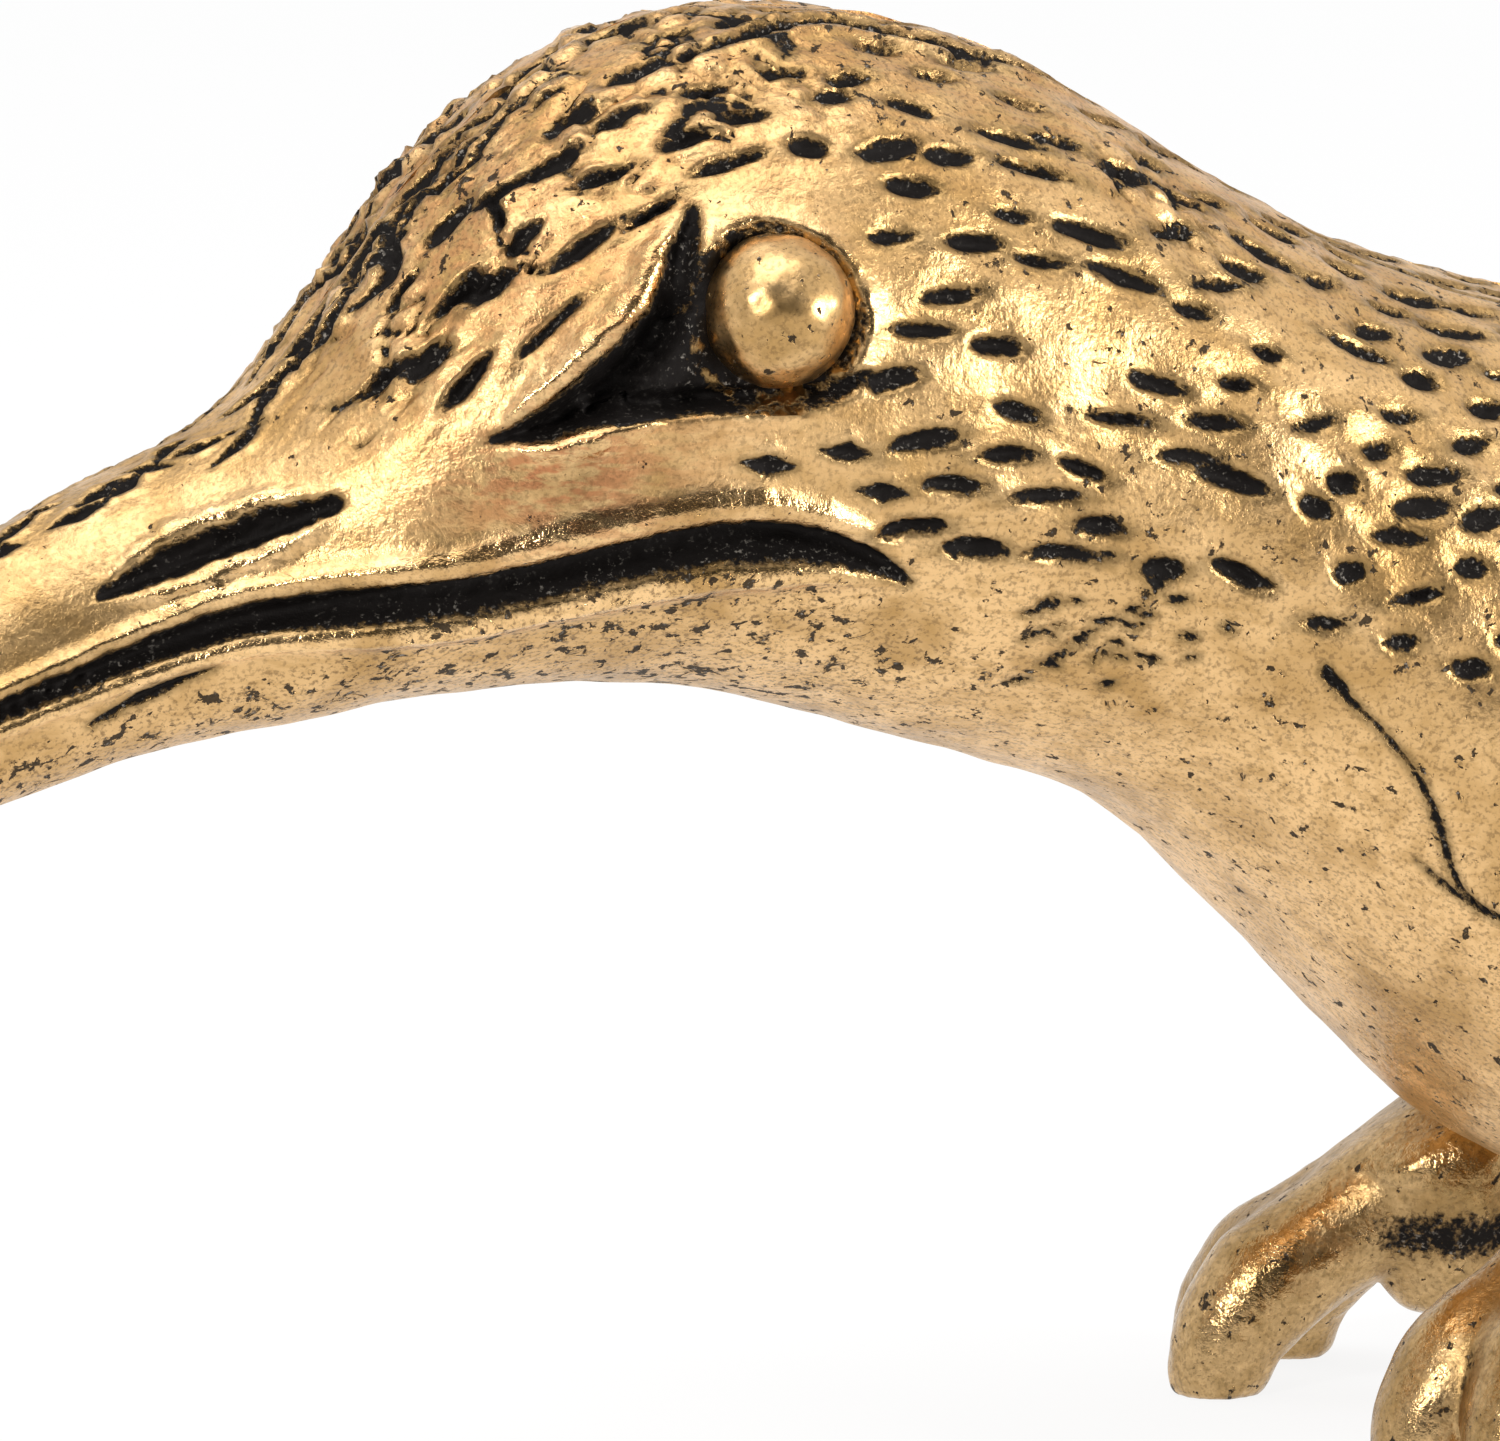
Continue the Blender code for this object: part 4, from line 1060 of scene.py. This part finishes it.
class BIRD_OT_stage(bpy.types.Operator):
    """Set the white table, the soft studio light and the camera"""

    bl_idname = "bird.stage"
    bl_label = "Stage"

    def execute(self, context):
        scene = context.scene
        scene.view_settings.view_transform = "Standard"
        self.table()
        self.surroundings(scene)
        self.lamps()
        self.camera()
        return {"FINISHED"}

    def table(self):
        """A large white sheet that looks evenly lit to the camera and in the brass."""
        mesh = bmesh.new()
        bmesh.ops.create_grid(mesh, x_segments=1, y_segments=1, size=3.0)
        table = add_mesh("table", mesh)
        material, wires, shader = new_material("white table")
        wires.link(TABLE_WHITE, shader.inputs["Base Color"])
        wires.fill(shader, Roughness=0.9)
        glow = wires.node("ShaderNodeEmission")
        seen = wires.node("ShaderNodeLightPath").outputs
        looked_at = wires.math("MAXIMUM", seen["Is Camera Ray"], seen["Is Glossy Ray"])
        mix = wires.node("ShaderNodeMixShader")
        wires.link(wires.share(looked_at, 0.88), mix.inputs[0])
        wires.link(shader.outputs[0], mix.inputs[1])
        wires.link(glow.outputs[0], mix.inputs[2])
        wires.link(mix.outputs[0], material.node_tree.nodes["Material Output"].inputs["Surface"])
        table.data.materials.append(material)

    def surroundings(self, scene):
        """White all round, but dim on the side where the photographer stands."""
        world = bpy.data.worlds.new("studio")
        scene.world = world
        world.use_nodes = True
        wires = Wiring(world.node_tree)
        background = world.node_tree.nodes["Background"]
        direction = wires.node("ShaderNodeTexCoord").outputs["Generated"]
        split = wires.node("ShaderNodeSeparateXYZ")
        wires.link(direction, split.inputs[0])
        depth = wires.line(split.outputs["X"], 0.30, split.outputs["Y"])
        room = wires.ramp(depth, -0.95, -0.10, 0.06, 0.98)
        seen = wires.node("ShaderNodeLightPath").outputs["Is Camera Ray"]
        wires.fill(background, Strength=wires.math("MAXIMUM", room, seen), Color=(1, 1, 1, 1))

    def lamps(self):
        """A large soft lamp above, and two small ones that make the sparkle on the marks."""
        for name, place, size, power in LAMPS:
            data = bpy.data.lights.new(name, "AREA")
            data.shape, data.size, data.energy = "DISK", size, power
            aim(add_object(name, data), place, LAMPS_AIM - Vector(place))

    def camera(self):
        """The photo's close view: front quarter, a little above the table."""
        level = math.cos(VIEW_ELEVATION)
        back = Vector((math.sin(VIEW_AZIMUTH) * level, -math.cos(VIEW_AZIMUTH) * level,
                       math.sin(VIEW_ELEVATION)))
        data = bpy.data.cameras.new("photo_camera")
        data.sensor_width = SENSOR_WIDTH
        data.lens = SENSOR_WIDTH * VIEW_DISTANCE / VIEW_WIDTH
        data.clip_start, data.clip_end = 0.01, 20.0
        camera = add_object("photo_camera", data)
        aim(camera, VIEW_TARGET + back * VIEW_DISTANCE, -back)
        bpy.context.scene.camera = camera


class BIRD_PT_panel(bpy.types.Panel):
    """Lists the bird's steps and settings"""

    bl_idname = "BIRD_PT_panel"
    bl_label = "Brass hummingbird"
    bl_space_type = "VIEW_3D"
    bl_region_type = "UI"
    bl_category = "Bird"

    def draw(self, context):
        for step in STEPS:
            self.layout.operator(step.bl_idname)
        for group in (context.scene.bird_marks, context.scene.bird_finish):
            for name in group.bl_rna.properties.keys():
                if name not in ("rna_type", "name"):
                    self.layout.prop(group, name)


STEPS = (BIRD_OT_stage, BIRD_OT_body, BIRD_OT_eyes, BIRD_OT_wings, BIRD_OT_tail, BIRD_OT_legs,
         BIRD_OT_dowels)
CLASSES = (BirdMarks, BirdFinish) + STEPS + (BIRD_PT_panel,)


def register():
    for item in CLASSES:
        bpy.utils.register_class(item)
    bpy.types.Scene.bird_marks = bpy.props.PointerProperty(type=BirdMarks)
    bpy.types.Scene.bird_finish = bpy.props.PointerProperty(type=BirdFinish)


def unregister():
    del bpy.types.Scene.bird_finish
    del bpy.types.Scene.bird_marks
    for item in reversed(CLASSES):
        bpy.utils.unregister_class(item)


def main():
    register()
    bpy.ops.bird.stage()
    bpy.ops.bird.body()
    bpy.ops.bird.eyes()
    bpy.ops.bird.wings()
    bpy.ops.bird.tail()
    bpy.ops.bird.legs()
    bpy.ops.bird.dowels()


if __name__ == "__main__":
    main()
